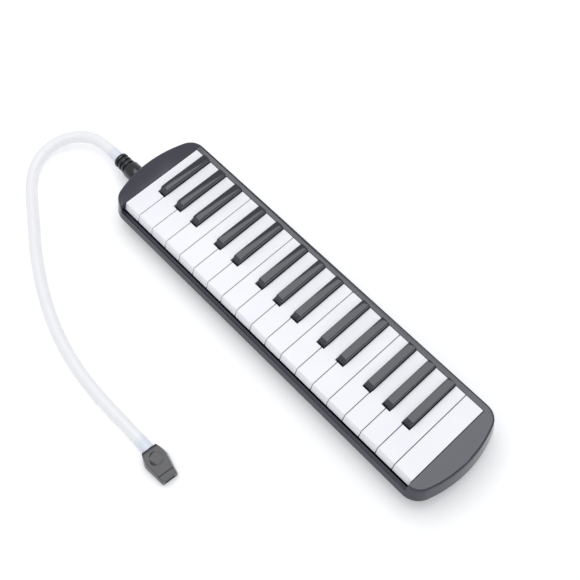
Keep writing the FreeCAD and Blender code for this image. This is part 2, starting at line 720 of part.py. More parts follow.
# ---------------------------------------------------------------------------------------------
# Case
# ---------------------------------------------------------------------------------------------
def case_outline(body, inset, height):
    """The case's outline at a height, drawn in by an inset: straight sides, bowed ends, rounded corners."""
    drawing = drawing_on(body, "XY_Plane", height)
    side = number(f"case_width / 2 - ({inset})")
    bow = number(f"end_radius - ({inset})")
    corner = number(f"corner_radius - ({inset})")
    bow_centre = number("case_end - end_radius")
    corner_y = side - corner
    corner_x = bow_centre + math.sqrt((bow - corner) ** 2 - corner_y**2)
    turn = math.atan2(corner_y, corner_x - bow_centre)
    quarter = math.pi / 2

    def arc(x, y, radius, start, end):
        circle = Part.Circle(Vector(x, y, 0), Vector(0, 0, 1), radius)
        return Part.ArcOfCircle(circle, start, end)

    edges = [
        Part.LineSegment(Vector(-corner_x, -side, 0), Vector(corner_x, -side, 0)),
        arc(corner_x, -corner_y, corner, -quarter, -turn),
        arc(bow_centre, 0, bow, -turn, turn),
        arc(corner_x, corner_y, corner, turn, quarter),
        Part.LineSegment(Vector(corner_x, side, 0), Vector(-corner_x, side, 0)),
        arc(-corner_x, corner_y, corner, quarter, math.pi - turn),
        arc(-bow_centre, 0, bow, math.pi - turn, math.pi + turn),
        arc(-corner_x, -corner_y, corner, math.pi + turn, 3 * quarter),
    ]
    for edge in edges:
        drawing.addGeometry(edge, False)
    for here in range(len(edges)):
        following = (here + 1) % len(edges)
        drawing.addConstraint(Sketcher.Constraint("Tangent", here, 2, following, 1))
    for straight in (0, 4):
        drawing.addConstraint(Sketcher.Constraint("Horizontal", straight))
    for geometry in (1, 3, 5, 7):
        size = drawing.addConstraint(Sketcher.Constraint("Radius", geometry, corner))
        bind(drawing, f"Constraints[{size}]", f"corner_radius - ({inset})")
    for geometry, sign in ((2, ""), (6, "0 - ")):
        size = drawing.addConstraint(Sketcher.Constraint("Radius", geometry, bow))
        bind(drawing, f"Constraints[{size}]", f"end_radius - ({inset})")
        fix_distance(drawing, "DistanceX", geometry, 3, f"{sign}(case_end - end_radius)")
        drawing.addConstraint(Sketcher.Constraint("PointOnObject", geometry, 3, -1))
    fix_distance(drawing, "DistanceY", 0, 1, f"0 - (case_width / 2 - ({inset}))")
    fix_distance(drawing, "DistanceY", 4, 1, f"case_width / 2 - ({inset})")
    return drawing


def loft(body, kind, sections):
    """A straight-walled solid, or hollow, through the case's outlines at several (inset, height) pairs."""
    outlines = [case_outline(body, inset, height) for inset, height in sections]
    made = body.newObject(kind, "feature")
    made.Profile = outlines[0]
    made.Sections = outlines[1:]
    made.Ruled = True
    body.Tip = made
    document.recompute()
    return made


SCREW_PLACES = [(sign, place) for sign in (-1, 1) for place in CASE_SCREW_Y]


def screw_rods(radius, low, high):
    return [
        rod("z", radius, (f"{sign} * case_screw_x", place, low), f"({high}) - ({low})")
        for sign, place in SCREW_PLACES
    ]


def case_end_x(y_place):
    """X of the case's low end at the seam, at a place across the case."""
    return f"(0 - (case_end - end_radius + sqrt(end_radius ^ 2 - ({y_place}) ^ 2)))"


def socket_clearance():
    """The hole through both shells for the blow socket, with the groove that locks its flange."""
    hole = rod(
        "x",
        "socket_radius + socket_fit",
        (f"{case_end_x('inlet_y')} - wall", "inlet_y", "inlet_height"),
        "wall * 5",
    )
    groove = rod(
        "x",
        "socket_flange_radius + socket_fit",
        ("inlet_box_front - seal_radius - socket_flange - socket_fit", "inlet_y", "inlet_height"),
        "socket_flange + seal_radius",
    )
    return fuse([hole, groove])


def make_upper_case():
    """The upper shell: end panels, rear rail and low front rim around the keyboard's opening."""
    body = add("PartDesign::Body", "upper_shell")
    outer = [
        ("0", "seam_height"),
        ("deck_inset - deck_edge / 3", "deck_height - deck_edge"),
        ("deck_inset + deck_edge", "deck_height"),
    ]
    loft(body, "PartDesign::AdditiveLoft", outer)
    inner = [("wall", "seam_height"), ("wall + deck_slope * (case_ceiling - seam_height)", "case_ceiling")]
    loft(body, "PartDesign::SubtractiveLoft", inner)
    opening = box(
        ("0 - opening_end", "opening_end"),
        ("0 - case_width", "key_rear + key_rear_gap"),
        ("rim_height", "deck_height + wall"),
    )
    shell = cut(body, [opening])
    lip = box(
        ("0 - opening_end - cheek", "opening_end + cheek"),
        ("0 - case_width / 2 + wall + deck_slope * (rim_height - seam_height) - rim_lip_bite", "rim_inner"),
        ("rim_height - rim_lip", "rim_height"),
    )
    cheeks = [
        box(
            (f"{low} * opening_end - {cheek_low} * cheek", f"{low} * opening_end + {cheek_high} * cheek"),
            ("rim_inner - cheek_bite", "key_rear + wall"),
            ("cheek_foot", "deck_height - wall / 2"),
        )
        for low, cheek_low, cheek_high in ((-1, 1, 0), (1, 0, 1))
    ]
    bosses = screw_rods("case_boss", "seam_height + boss_gap", "deck_height - wall / 2")
    pilots = screw_rods("case_screw_radius", "seam_height", "seam_height + case_screw_bite")
    return cut(fuse([shell, lip] + cheeks + bosses), pilots + [socket_clearance()], "upper_case")


def make_lower_case():
    """The lower shell: tray with screw posts, recesses for the feet and a rib under the key guide."""
    body = add("PartDesign::Body", "lower_shell")
    outer = [
        ("base_inset + base_edge", "base_height"),
        ("base_inset - base_slope * base_edge", "base_height + base_edge"),
        ("0", "seam_height"),
    ]
    loft(body, "PartDesign::AdditiveLoft", outer)
    inner = [
        ("wall + base_edge / 2 + base_slope * (seam_height - case_floor)", "case_floor"),
        ("wall + base_slope * (seam_height - case_floor - base_edge)", "case_floor + base_edge"),
        ("wall", "seam_height"),
    ]
    loft(body, "PartDesign::SubtractiveLoft", inner)
    posts = screw_rods("case_boss", "case_floor - overlap", "seam_height")
    rib = box(
        ("0 - chest_end", "chest_end"),
        ("guide_front + guide_width / 2 - stop_rib / 2", "guide_front + guide_width / 2 + stop_rib / 2"),
        ("case_floor - overlap", "guide_foot"),
    )
    heads = screw_rods("case_screw_head + case_screw_room", "base_height - overcut", "screw_seat")
    shanks = screw_rods("case_screw_radius + case_screw_fit", "screw_seat", "seam_height + overcut")
    recesses = [
        rod(
            "z",
            "foot_radius + foot_fit",
            (f"{x} * foot_x", f"{y} * foot_y", "base_height - overcut"),
            "foot_recess + overcut",
        )
        for x in (-1, 1)
        for y in (-1, 1)
    ]
    drain = rod(
        "y",
        "drain_button_radius + drain_fit",
        ("drain_x", "chest_rear + overcut", "drain_height"),
        "case_width / 2 - chest_rear + 2 * overcut",
    )
    return cut(
        fuse([body, rib] + posts), heads + shanks + recesses + [drain, socket_clearance()], "lower_case"
    )


def make_case_screws():
    """Six screws driven up through the lower shell's posts into the upper shell."""
    screws = []
    for sign, place in SCREW_PLACES:
        x = f"{sign} * case_screw_x"
        low = "screw_seat - case_screw_head_height"
        head = rod("z", "case_screw_head", (x, place, low), "case_screw_head_height")
        slot = fuse(
            [
                box(
                    (f"{x} - cross_reach", f"{x} + cross_reach"),
                    (f"{place} - cross_half", f"{place} + cross_half"),
                    (f"{low} - overcut", f"{low} + cross_depth"),
                ),
                box(
                    (f"{x} - cross_half", f"{x} + cross_half"),
                    (f"{place} - cross_reach", f"{place} + cross_reach"),
                    (f"{low} - overcut", f"{low} + cross_depth"),
                ),
            ]
        )
        shank = rod(
            "z",
            "case_screw_radius",
            (x, place, "screw_seat - overlap"),
            "seam_height + case_screw_bite - case_screw_tip_gap - screw_seat + overlap",
        )
        screws.append(cut(fuse([head, shank]), [slot]))
    return gather(screws, "case_screws")


def make_rubber_feet():
    """Four round feet seated in the lower shell's recesses."""
    feet = [
        rod("z", "foot_radius", (f"{x} * foot_x", f"{y} * foot_y", "0"), "base_height + foot_recess")
        for x in (-1, 1)
        for y in (-1, 1)
    ]
    return gather(feet, "rubber_feet")


# ---------------------------------------------------------------------------------------------
# Wind chest and reeds
# ---------------------------------------------------------------------------------------------
def reed_length(index):
    """Free length of a key's reed, evenly shorter from the lowest to the highest."""
    last = len(KEYS) - 1
    return f"(reed_long + (reed_short - reed_long) * {index} / {last})"


def make_wind_chest():
    """The airtight chest: air duct, a cell and outlet slot for each key, and the axle's bearings."""
    block = box(("0 - chest_end", "chest_end"), ("chest_front", "chest_rear"), ("chest_foot", "chest_top"))
    duct = box(
        ("0 - chest_inside", "chest_inside"),
        ("chest_front + chest_side", "divider_y"),
        ("chest_foot - overcut", "chest_ceiling"),
    )
    chamber = box(
        ("0 - chest_inside", "chest_inside"),
        ("chest_front + chest_side", "chest_rear_inside"),
        ("chest_foot - overcut", "plate_top"),
    )
    cells = []
    slots = []
    for index, (name, station) in enumerate(KEYS):
        before = f"({KEYS[index - 1][1]} + {station}) / 2" if index else "0 - chest_inside"
        after = f"({station} + {KEYS[index + 1][1]}) / 2" if index + 1 < len(KEYS) else "chest_inside"
        low = f"{before} + cell_wall / 2" if index else before
        high = f"{after} - cell_wall / 2" if index + 1 < len(KEYS) else after
        depth = ("divider_y + divider", "chest_rear_inside")
        cells.append(box((low, high), depth, ("plate_top - overlap", "chest_ceiling")))
        slots.append(
            box(
                (f"{station} - slot_width / 2", f"{station} + slot_width / 2"),
                ("slot_front", "slot_front + slot_length"),
                ("chest_ceiling - overlap", "chest_top + overcut"),
            )
        )
    ledge = box(
        ("0 - chest_inside - overlap", "chest_inside + overlap"),
        ("chest_rear_inside - plate_ledge", "chest_rear_inside + overcut"),
        ("plate_height - ledge_gap - ledge_thickness", "plate_height - ledge_gap"),
    )
    half = "inlet_box_size / 2"
    inlet = box(
        ("inlet_box_front", "0 - chest_end + overlap"),
        (f"inlet_y - {half}", f"inlet_y + {half}"),
        (f"inlet_height - {half}", f"inlet_height + {half}"),
    )
    inlet_hollow = box(
        ("inlet_box_front + inlet_box_wall", "0 - chest_end - inlet_box_wall"),
        (f"inlet_y - {half} + inlet_box_wall", f"inlet_y + {half} - inlet_box_wall"),
        (f"inlet_height - {half} + inlet_box_wall", f"inlet_height + {half} - inlet_box_wall"),
    )
    inlet_way = box(
        ("0 - chest_end - inlet_box_wall - overlap", "0 - chest_inside + overlap"),
        ("inlet_y - inlet_passage", "inlet_y + inlet_passage"),
        (f"inlet_height - {half} + inlet_box_wall", "chest_ceiling"),
    )
    inlet_hole = rod(
        "x",
        "socket_bore",
        ("inlet_box_front - overcut", "inlet_y", "inlet_height"),
        "inlet_box_wall + 2 * overcut",
    )
    drain_hole = rod(
        "y",
        "drain_hole_radius",
        ("drain_x", "chest_rear_inside - overcut", "drain_height"),
        "chest_side + 2 * overcut",
    )
    seal_room = rod(
        "y",
        "drain_seal_radius + drain_seal_room",
        ("drain_x", "chest_rear_inside - plate_ledge - overcut", "drain_height"),
        "plate_ledge + overcut",
    )
    lugs = []
    for count in BEARING_LINES:
        middle = line(count)
        if count == 0:
            middle = f"{line(count)} + lug_width / 2"
        if count == WHITE_KEYS:
            middle = f"{line(count)} - lug_width / 2"
        lugs.append(
            box(
                (f"{middle} - lug_width / 2", f"{middle} + lug_width / 2"),
                ("pivot_y - lug_length / 2", "pivot_y + lug_length / 2"),
                ("chest_top - overlap", "lug_top"),
            )
        )
    axle_hole = rod(
        "x",
        "axle_radius",
        ("0 - chest_end - overcut", "pivot_y", "pivot_height"),
        "2 * chest_end + 2 * overcut",
    )
    hollow = fuse([duct, chamber] + cells + slots + [inlet_hollow, inlet_way, inlet_hole])
    shell = cut(fuse([block, inlet]), [hollow])
    pilots = [
        rod("z", "plate_screw_radius", (x, "plate_screw_y", "plate_top - overlap"), "plate_screw_length")
        for x in plate_screw_places()
    ]
    pilots += [
        rod("z", "chest_screw_radius", (x, y, "chest_foot - overcut"), "chest_screw_length")
        for x, y in chest_screw_places()
    ]
    drain_way = fuse([drain_hole, seal_room])
    return cut(fuse([shell, ledge] + lugs), pilots + [axle_hole, drain_way], "wind_chest")


def chest_screw_places():
    """Places of the cover's screws, evenly along the chest's front and rear walls."""
    gaps = CHEST_SCREWS_PER_SIDE - 1
    reach = "chest_inside"
    return [
        (f"({step} / {gaps} * 2 - 1) * {reach}", y)
        for y in ("chest_front + chest_side / 2", "chest_rear - chest_side / 2")
        for step in range(CHEST_SCREWS_PER_SIDE)
    ]


def plate_span(side):
    """The two ends of a reed plate along the chest; side is -1 for the low plate and 1 for the high one."""
    near = "(plate_gap / 2)"
    far = "(chest_inside - plate_margin)"
    return (f"0 - {far}", f"0 - {near}") if side < 0 else (near, far)


def plate_screw_places():
    """Places of both plates' screws, evenly along their front edge."""
    places = []
    for side in (-1, 1):
        low, high = plate_span(side)
        for step in range(PLATE_SCREWS_PER_PLATE):
            share = (step + 0.5) / PLATE_SCREWS_PER_PLATE
            places.append(f"({low} + ({high} - ({low})) * {share:.4f})")
    return places


def reeds_of(side):
    """The keys served by a plate, as (index, x of the reed)."""
    half = len(KEYS) // 2
    return [(index, KEYS[index][1]) for index in (range(half) if side < 0 else range(half, len(KEYS)))]


def make_reed_plate(side, label):
    """A flat plate with a slot under each reed and a hole for each rivet and screw."""
    depth = ("divider_y + plate_margin", "chest_rear_inside - plate_margin")
    slab = box(plate_span(side), depth, ("plate_height", "plate_top"))
    openings = []
    for index, x in reeds_of(side):
        half = "(reed_width / 2 + reed_slot_gap)"
        openings.append(
            box(
                (f"{x} - {half}", f"{x} + {half}"),
                ("reed_root", f"reed_root + {reed_length(index)}"),
                ("plate_height - overcut", "plate_top + overcut"),
            )
        )
        openings.append(
            rod(
                "z",
                "rivet_radius",
                (x, "rivet_y", "plate_height - overcut"),
                "plate_thickness + 2 * overcut",
            )
        )
    screws = plate_screw_places()
    own = screws[:PLATE_SCREWS_PER_PLATE] if side < 0 else screws[PLATE_SCREWS_PER_PLATE:]
    for x in own:
        openings.append(
            rod(
                "z",
                "plate_screw_radius + plate_screw_fit",
                (x, "plate_screw_y", "plate_height - overcut"),
                "plate_thickness + 2 * overcut",
            )
        )
    return cut(slab, openings, label)


def make_reeds(side, label):
    """The metal tongues of a plate, each held at its foot and free over its slot."""
    tongues = []
    for index, x in reeds_of(side):
        tongue = box(
            (f"{x} - reed_width / 2", f"{x} + reed_width / 2"),
            ("reed_root - reed_foot", f"reed_root + {reed_length(index)} - reed_slot_gap"),
            ("plate_height - reed_thickness", "plate_height"),
        )
        hole = rod("z", "rivet_radius", (x, "rivet_y", "plate_height - overcut"), "2 * overcut")
        tongues.append(cut(tongue, [hole]))
    return gather(tongues, label)


def make_rivets():
    """A rivet through the foot of each reed."""
    rivets = []
    for name, x in KEYS:
        place = "rivet_y"
        shank = rod(
            "z",
            "rivet_radius",
            (x, place, "plate_height - reed_thickness - rivet_head / 2"),
            "plate_thickness + reed_thickness + rivet_head / 2",
        )
        head = rod(
            "z",
            "rivet_head_radius",
            (x, place, "plate_height - reed_thickness - rivet_head"),
            "rivet_head",
        )
        rivets.append(fuse([shank, head]))
    return gather(rivets, "reed_rivets")


def headed_screw(x, y, head_low, head_radius, head_height, radius, length):
    """A screw that points up, with its head below."""
    head = rod("z", head_radius, (x, y, head_low), head_height)
    shank = rod("z", radius, (x, y, f"{head_low} + {head_height} / 2"), f"{length} + {head_height} / 2")
    return fuse([head, shank])


def make_plate_screws():
    screws = [
        headed_screw(
            x,
            "plate_screw_y",
            "plate_height - plate_screw_head_height",
            "plate_screw_head",
            "plate_screw_head_height",
            "plate_screw_radius",
            "plate_screw_length - plate_screw_tip_gap",
        )
        for x in plate_screw_places()
    ]
    return gather(screws, "reed_plate_screws")


def make_chest_cover():
    """The flat plate that closes the chest from below."""
    slab = box(("0 - chest_end", "chest_end"), ("chest_front", "chest_rear"), ("case_floor", "cover_top"))
    holes = []
    for x, y in chest_screw_places():
        head = rod(
            "z",
            "chest_screw_head + chest_screw_fit",
            (x, y, "case_floor - overcut"),
            "chest_screw_head_height + overcut",
        )
        shank = rod(
            "z",
            "chest_screw_radius + chest_screw_fit",
            (x, y, "case_floor"),
            "cover_thickness + overcut",
        )
        holes.append(fuse([head, shank]))
    return cut(slab, holes, "chest_cover")


def make_chest_gasket():
    """The soft frame between the chest and its cover."""
    low = "cover_top"
    sheet_block = box(("0 - chest_end", "chest_end"), ("chest_front", "chest_rear"), (low, "chest_foot"))
    window = box(
        ("0 - chest_end + chest_side", "chest_end - chest_side"),
        ("chest_front + chest_side", "chest_rear - chest_side"),
        (f"{low} - overcut", "chest_foot + overcut"),
    )
    holes = [
        rod(
            "z",
            "chest_screw_radius + chest_screw_fit",
            (x, y, f"{low} - overcut"),
            "gasket_thickness + 2 * overcut",
        )
        for x, y in chest_screw_places()
    ]
    return cut(sheet_block, [fuse([window] + holes)], "chest_gasket")


def make_chest_screws():
    screws = [
        headed_screw(
            x,
            y,
            "case_floor",
            "chest_screw_head",
            "chest_screw_head_height",
            "chest_screw_radius",
            "chest_screw_length",
        )
        for x, y in chest_screw_places()
    ]
    return gather(screws, "chest_screws")


# ---------------------------------------------------------------------------------------------
# Key action
# ---------------------------------------------------------------------------------------------
def make_key_axle():
    """The one steel rod that every key rocks on."""
    return rename(
        rod(
            "x",
            "axle_radius",
            ("0 - keyboard_end", "pivot_y", "pivot_height"),
            "keyboard_end * 2",
        ),
        "key_axle",
    )


def rename(item, label):
    item.Label = label
    return item


def make_key_springs():
    """A bent strip under each key: its foot lies on the chest and its tip lifts the key's front."""
    strips = []
    for name, station in KEYS:
        body = add("PartDesign::Body", f"spring_{name}")
        foot_front = "(spring_foot_rear - spring_foot_length)"
        tip_rear = "(spring_tip + spring_tip_length)"
        side = polygon(
            body,
            "YZ_Plane",
            [
                ("spring_foot_rear", "chest_top"),
                ("spring_foot_rear", "chest_top + spring_thickness"),
                (f"{foot_front} + spring_thickness", "chest_top + spring_thickness"),
                (f"{tip_rear} + spring_thickness", "web_land"),
                ("spring_tip", "web_land"),
                ("spring_tip", "web_land - spring_thickness"),
                (tip_rear, "web_land - spring_thickness"),
                (foot_front, "chest_top"),
            ],
            offset=station,
        )
        feature(body, "PartDesign::Pad", side, "spring_width", midplane=True)
        strips.append(body)
    return gather(strips, "key_springs")


def make_key_guide():
    """The strip under the key fronts, with a post inside each white key that keeps it straight."""
    strip = box(
        (f"0 - {line(WHITE_KEYS)}", line(WHITE_KEYS)),
        ("guide_front", "guide_front + guide_width"),
        ("guide_foot", "guide_top"),
    )
    posts = []
    for index in range(WHITE_KEYS):
        middle = f"(({line(index)}) + ({line(index + 1)})) / 2"
        posts.append(
            box(
                (f"{middle} - guide_post_width / 2", f"{middle} + guide_post_width / 2"),
                ("guide_front + guide_width - guide_post_length", "guide_front + guide_width"),
                ("guide_top - overlap", "guide_top + guide_post_rise"),
            )
        )
    return fuse([strip] + posts, "key_guide_strip")


def make_felt():
    """The felt that the key fronts land on."""
    return rename(
        box(
            (f"0 - {line(WHITE_KEYS)}", line(WHITE_KEYS)),
            ("guide_front", "guide_front + felt_width"),
            ("guide_top", "guide_top + felt_thickness"),
        ),
        "front_felt",
    )


# ---------------------------------------------------------------------------------------------
# Blow socket, connector, hose and mouthpiece
# ---------------------------------------------------------------------------------------------
socket_front = f"({case_end_x('inlet_y')} - socket_reach)"


def make_blow_socket():
    """The tube held in the case's low end that the connector plugs into."""
    place = (socket_front, "inlet_y", "inlet_height")
    length = f"inlet_box_front - {socket_front} - seal_radius"
    tube = rod("x", "socket_radius", place, length)
    flange = rod(
        "x",
        "socket_flange_radius",
        ("inlet_box_front - seal_radius - socket_flange", "inlet_y", "inlet_height"),
        "socket_flange",
    )
    start = (f"{socket_front} - overcut", "inlet_y", "inlet_height")
    bore = rod("x", "socket_bore", start, f"{length} + 2 * overcut")
    return cut(fuse([tube, flange]), [bore], "blow_socket")


def make_socket_seal():
    """The ring squeezed between the socket and the chest's inlet box."""
    return rename(
        ring(
            "x",
            "socket_bore + seal_radius + seal_inset",
            "seal_radius / 2",
            ("inlet_box_front - seal_radius / 2", "inlet_y", "inlet_height"),
        ),
        "socket_seal",
    )


def make_connector():
    """The ribbed connector in one piece: plug, barrel, two collars, an end collar and the hose's nozzle."""
    pieces = []
    place = f"({socket_front})"
    plug = rod(
        "x",
        "socket_bore - plug_clearance",
        (f"{place} - overlap", "inlet_y", "inlet_height"),
        "plug_length + overlap",
    )
    pieces.append(plug)
    for radius, length in (
        ("barrel_radius", "barrel_length"),
        ("neck_radius", "neck_length"),
        ("collar_radius", "collar_length"),
        ("neck_radius", "neck_length"),
        ("collar_radius", "collar_length"),
        ("neck_radius", "neck_length"),
        ("collar_radius", "end_collar_length"),
    ):
        place = f"({place} - {length})"
        pieces.append(rod("x", radius, (place, "inlet_y", "inlet_height"), length))
    nozzle = rod(
        "x",
        "nozzle_radius",
        (f"{place} - nozzle_length", "inlet_y", "inlet_height"),
        "nozzle_length + overcut",
    )
    pieces.append(nozzle)
    airway = rod(
        "x",
        "air_bore",
        (f"{place} - nozzle_length - overcut", "inlet_y", "inlet_height"),
        "nozzle_length + plug_length + connector_body + 2 * overcut",
    )
    return cut(fuse(pieces), [airway], "hose_connector"), number(place)


def make_hose(start_x):
    """The soft hose, from the connector round to the mouthpiece: straight runs joined by tangent arcs."""
    diameter = number("hose_diameter")
    rest = diameter / 2 + number("resting_gap")
    inlet = number("inlet_height")
    axis_y = number("inlet_y")
    # The hose's route, as it was laid down: x, y and the height of the hose's axis at each point.
    route = [
        Vector(start_x, axis_y, inlet),
        Vector(start_x - number("hose_straight"), axis_y, inlet),
        Vector(-276.8, -11.6, 19.2),
        Vector(-296.9, -24.7, 16.4),
        Vector(-306.9, -47.2, 12.9),
        Vector(-302.8, -71.9, 9.6),
        Vector(-284.2, -92.6, 7.1),
        Vector(-256.0, -110.6, rest),
        Vector(-221.0, -134.0, rest),
        Vector(-182.0, -154.6, rest),
        Vector(-140.0, -170.6, rest),
        Vector(-98.0, -179.4, rest),
        Vector(-58.0, -181.6, rest),
        Vector(-24.0, -180.6, rest),
        Vector(6.0, -180.6, rest),
    ]
    edges = []
    radii = []
    here = route[0]
    for before, point, after in zip(route, route[1:], route[2:]):
        inward = (before - point).normalize()
        outward = (after - point).normalize()
        shorter = min(before.distanceToPoint(point), point.distanceToPoint(after))
        turn = math.pi - inward.getAngle(outward)
        reach = ARC_SHARE * shorter
        radii.append(reach / math.tan(turn / 2))
        start = point + inward * reach
        end = point + outward * reach
        bisector = (inward + outward).normalize()
        centre_distance = math.hypot(reach, radii[-1])
        middle = point + bisector * (centre_distance - radii[-1])
        edges.append(Part.LineSegment(here, start).toShape())
        edges.append(Part.Arc(start, middle, end).toShape())
        here = end
    edges.append(Part.LineSegment(here, route[-1]).toShape())
    path = Part.Wire(edges)
    heading = (route[1] - route[0]).normalize()
    tubes = []
    for radius in (diameter / 2, number("hose_bore") / 2):
        ring_wire = Part.Wire([Part.Circle(route[0], heading, radius).toShape()])
        tubes.append(path.makePipeShell([ring_wire], True, False))
    hose = add("Part::Feature", "hose")
    hose.Shape = tubes[0].cut(tubes[1])
    section = math.pi * (diameter**2 - number("hose_bore") ** 2) / 4
    print("hose length", round(path.Length, 1), "radii", [round(radius) for radius in radii])
    print("hose volume over section x length", round(hose.Shape.Volume / (section * path.Length), 4))
    return hose, route[-1]


def make_mouthpiece(end):
    """The mouthpiece on the hose's end: wide shoulder, tapering sides, stepped lip and blowing slot."""
    body = add("PartDesign::Body", "mouthpiece_block")
    start_x = f"{end.x:.3f}"
    axis_y = f"({end.y:.3f})"
    shoulder = f"{start_x} + mouthpiece_shoulder"
    front = f"{start_x} + mouthpiece_length"

    def plan(inset, height):
        """The mouthpiece's outline from above at a height, drawn in at its sides by an inset."""
        right = [
            (start_x, f"{axis_y} - (mouthpiece_rear_width / 2 - {inset})"),
            (shoulder, f"{axis_y} - (mouthpiece_width / 2 - {inset})"),
            (f"{shoulder} + mouthpiece_shoulder / 2", f"{axis_y} - (mouthpiece_width / 2 - {inset})"),
            (front, f"{axis_y} - (mouthpiece_front_width / 2 - {inset})"),
        ]
        left = [(across, up.replace(f"{axis_y} - ", f"{axis_y} + ")) for across, up in reversed(right)]
        return polygon(body, "XY_Plane", right + left, offset=height)

    block = body.newObject("PartDesign::AdditiveLoft", "feature")
    block.Profile = plan("mouthpiece_bevel / 2", "resting_gap")
    block.Sections = [
        plan("0", "resting_gap + mouthpiece_front_height / 2"),
        plan("mouthpiece_bevel", "resting_gap + mouthpiece_rear_height"),
    ]
    block.Ruled = True
    body.Tip = block
    document.recompute()
    lip = f"{front} - mouthpiece_lip"
    wedge = polygon(
        body,
        "XZ_Plane",
        [
            (f"{shoulder} + mouthpiece_shoulder / 2", "resting_gap + mouthpiece_rear_height"),
            (lip, "resting_gap + mouthpiece_front_height + mouthpiece_lip_step"),
            (lip, "resting_gap + mouthpiece_front_height"),
            (f"{front} + overcut", "resting_gap + mouthpiece_front_height - mouthpiece_lip_fall"),
            (f"{front} + overcut", "resting_gap + mouthpiece_rear_height + overcut"),
            (f"{shoulder} + mouthpiece_shoulder / 2", "resting_gap + mouthpiece_rear_height + overcut"),
        ],
        offset=f"0 - {axis_y}",
    )
    feature(body, "PartDesign::Pocket", wedge, "mouthpiece_width * 2", midplane=True)
    bore_end = f"{start_x} + socket_depth"
    height = f"{end.z:.3f}"
    bore = rod("x", "hose_bore / 2", (f"{start_x} - overcut", axis_y, height), f"{bore_end} - ({start_x})")
    slot_middle = "(resting_gap + mouthpiece_front_height / 2)"
    slot = box(
        (f"{bore_end} - 2 * overcut", f"{front} + overcut"),
        (f"{axis_y} - mouth_slot_width / 2", f"{axis_y} + mouth_slot_width / 2"),
        (f"{slot_middle} - mouth_slot_height / 2", f"{slot_middle} + mouth_slot_height / 2"),
    )
    return cut(body, [fuse([bore, slot])], "mouthpiece")


# ---------------------------------------------------------------------------------------------
# Water drain
# ---------------------------------------------------------------------------------------------
def make_drain_button():
    """The button in the rear wall: pressing its cap pushes the seal off the drain hole."""
    cap = rod(
        "y", "drain_button_radius", ("drain_x", "drain_cap_inner", "drain_height"), "drain_cap_length"
    )
    stem_low = "(chest_rear_inside - drain_seal_thickness - drain_head)"
    stem = rod(
        "y",
        "drain_stem_radius",
        ("drain_x", stem_low, "drain_height"),
        f"drain_cap_inner - {stem_low} + overcut",
    )
    head = rod(
        "y", "drain_seal_radius - drain_head_inset", ("drain_x", stem_low, "drain_height"), "drain_head"
    )
    return fuse([cap, stem, head], "drain_button")


def make_drain_seal():
    """The soft washer that closes the drain hole from inside."""
    washer = rod(
        "y",
        "drain_seal_radius",
        ("drain_x", "chest_rear_inside - drain_seal_thickness", "drain_height"),
        "drain_seal_thickness",
    )
    hole = rod(
        "y",
        "drain_stem_radius",
        ("drain_x", "chest_rear_inside - drain_seal_thickness - overcut", "drain_height"),
        "drain_seal_thickness + 2 * overcut",
    )
    return cut(washer, [hole], "drain_seal")


def make_drain_spring():
    """The coil spring that holds the drain shut, between the chest and the button's cap."""
    wire = number("drain_spring_wire")
    low = number("chest_rear") + wire
    high = number("drain_cap_inner") - wire
    radius = number("drain_spring_radius")
    helix = Part.makeHelix(number("drain_spring_pitch"), high - low, radius)
    circle = Part.Wire([Part.Circle(Vector(radius, 0, 0), Vector(0, 1, 0), wire).toShape()])
    coil = add("Part::Feature", "drain_spring")
    coil.Shape = Part.Wire(helix.Edges).makePipeShell([circle], True, True)
    coil.Placement = Placement(Vector(number("drain_x"), low, number("drain_height")), AXIS_TURN["y"])
    return coil


# ---------------------------------------------------------------------------------------------
# Build, check and write every piece
# ---------------------------------------------------------------------------------------------
def make_keys():
    keys = [make_white_key(index) for index in range(WHITE_KEYS)]
    keys += [make_black_key(serial, count) for serial, count in enumerate(BLACK_LINES, start=1)]
    return keys


def main():
    nodes = make_keys()
    nodes += [make_upper_case(), make_lower_case(), make_case_screws(), make_rubber_feet()]
    nodes += [make_wind_chest(), make_chest_cover(), make_chest_gasket(), make_chest_screws()]
    nodes += [make_reed_plate(-1, "reed_plate_low"), make_reed_plate(1, "reed_plate_high")]
    nodes += [make_reeds(-1, "reeds_low"), make_reeds(1, "reeds_high"), make_rivets(), make_plate_screws()]
    nodes += [make_key_axle(), make_key_springs(), make_key_guide(), make_felt()]
    connector, hose_start = make_connector()
    hose, hose_end = make_hose(hose_start)
    nodes += [make_blow_socket(), make_socket_seal(), connector, hose, make_mouthpiece(hose_end)]
    nodes += [make_drain_button(), make_drain_seal(), make_drain_spring()]
    document.recompute()

    for item in document.Objects:
        if {"Invalid", "Error"} & set(item.State):
            raise RuntimeError(f"{item.Label} ({item.TypeId}) failed: {item.State}")
    os.makedirs("parts", exist_ok=True)
    for node in nodes:
        shape = node.Shape
        if shape.isNull() or not shape.isValid() or not shape.Solids:
            raise RuntimeError(f"{node.Label} has no valid solid")
        shape.exportStep(f"parts/{node.Label}.step")
        print(node.Label, "solids", len(shape.Solids), "volume", round(shape.Volume, 1))
    print(len(nodes), "nodes")


main()
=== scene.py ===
"""Looks of a melodica with its blowing hose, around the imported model.  Metres, +Z up, in the model's frame."""
import math

import bmesh
import bpy
from bpy.props import FloatProperty, FloatVectorProperty, PointerProperty
from mathutils import Matrix, Quaternion, Vector


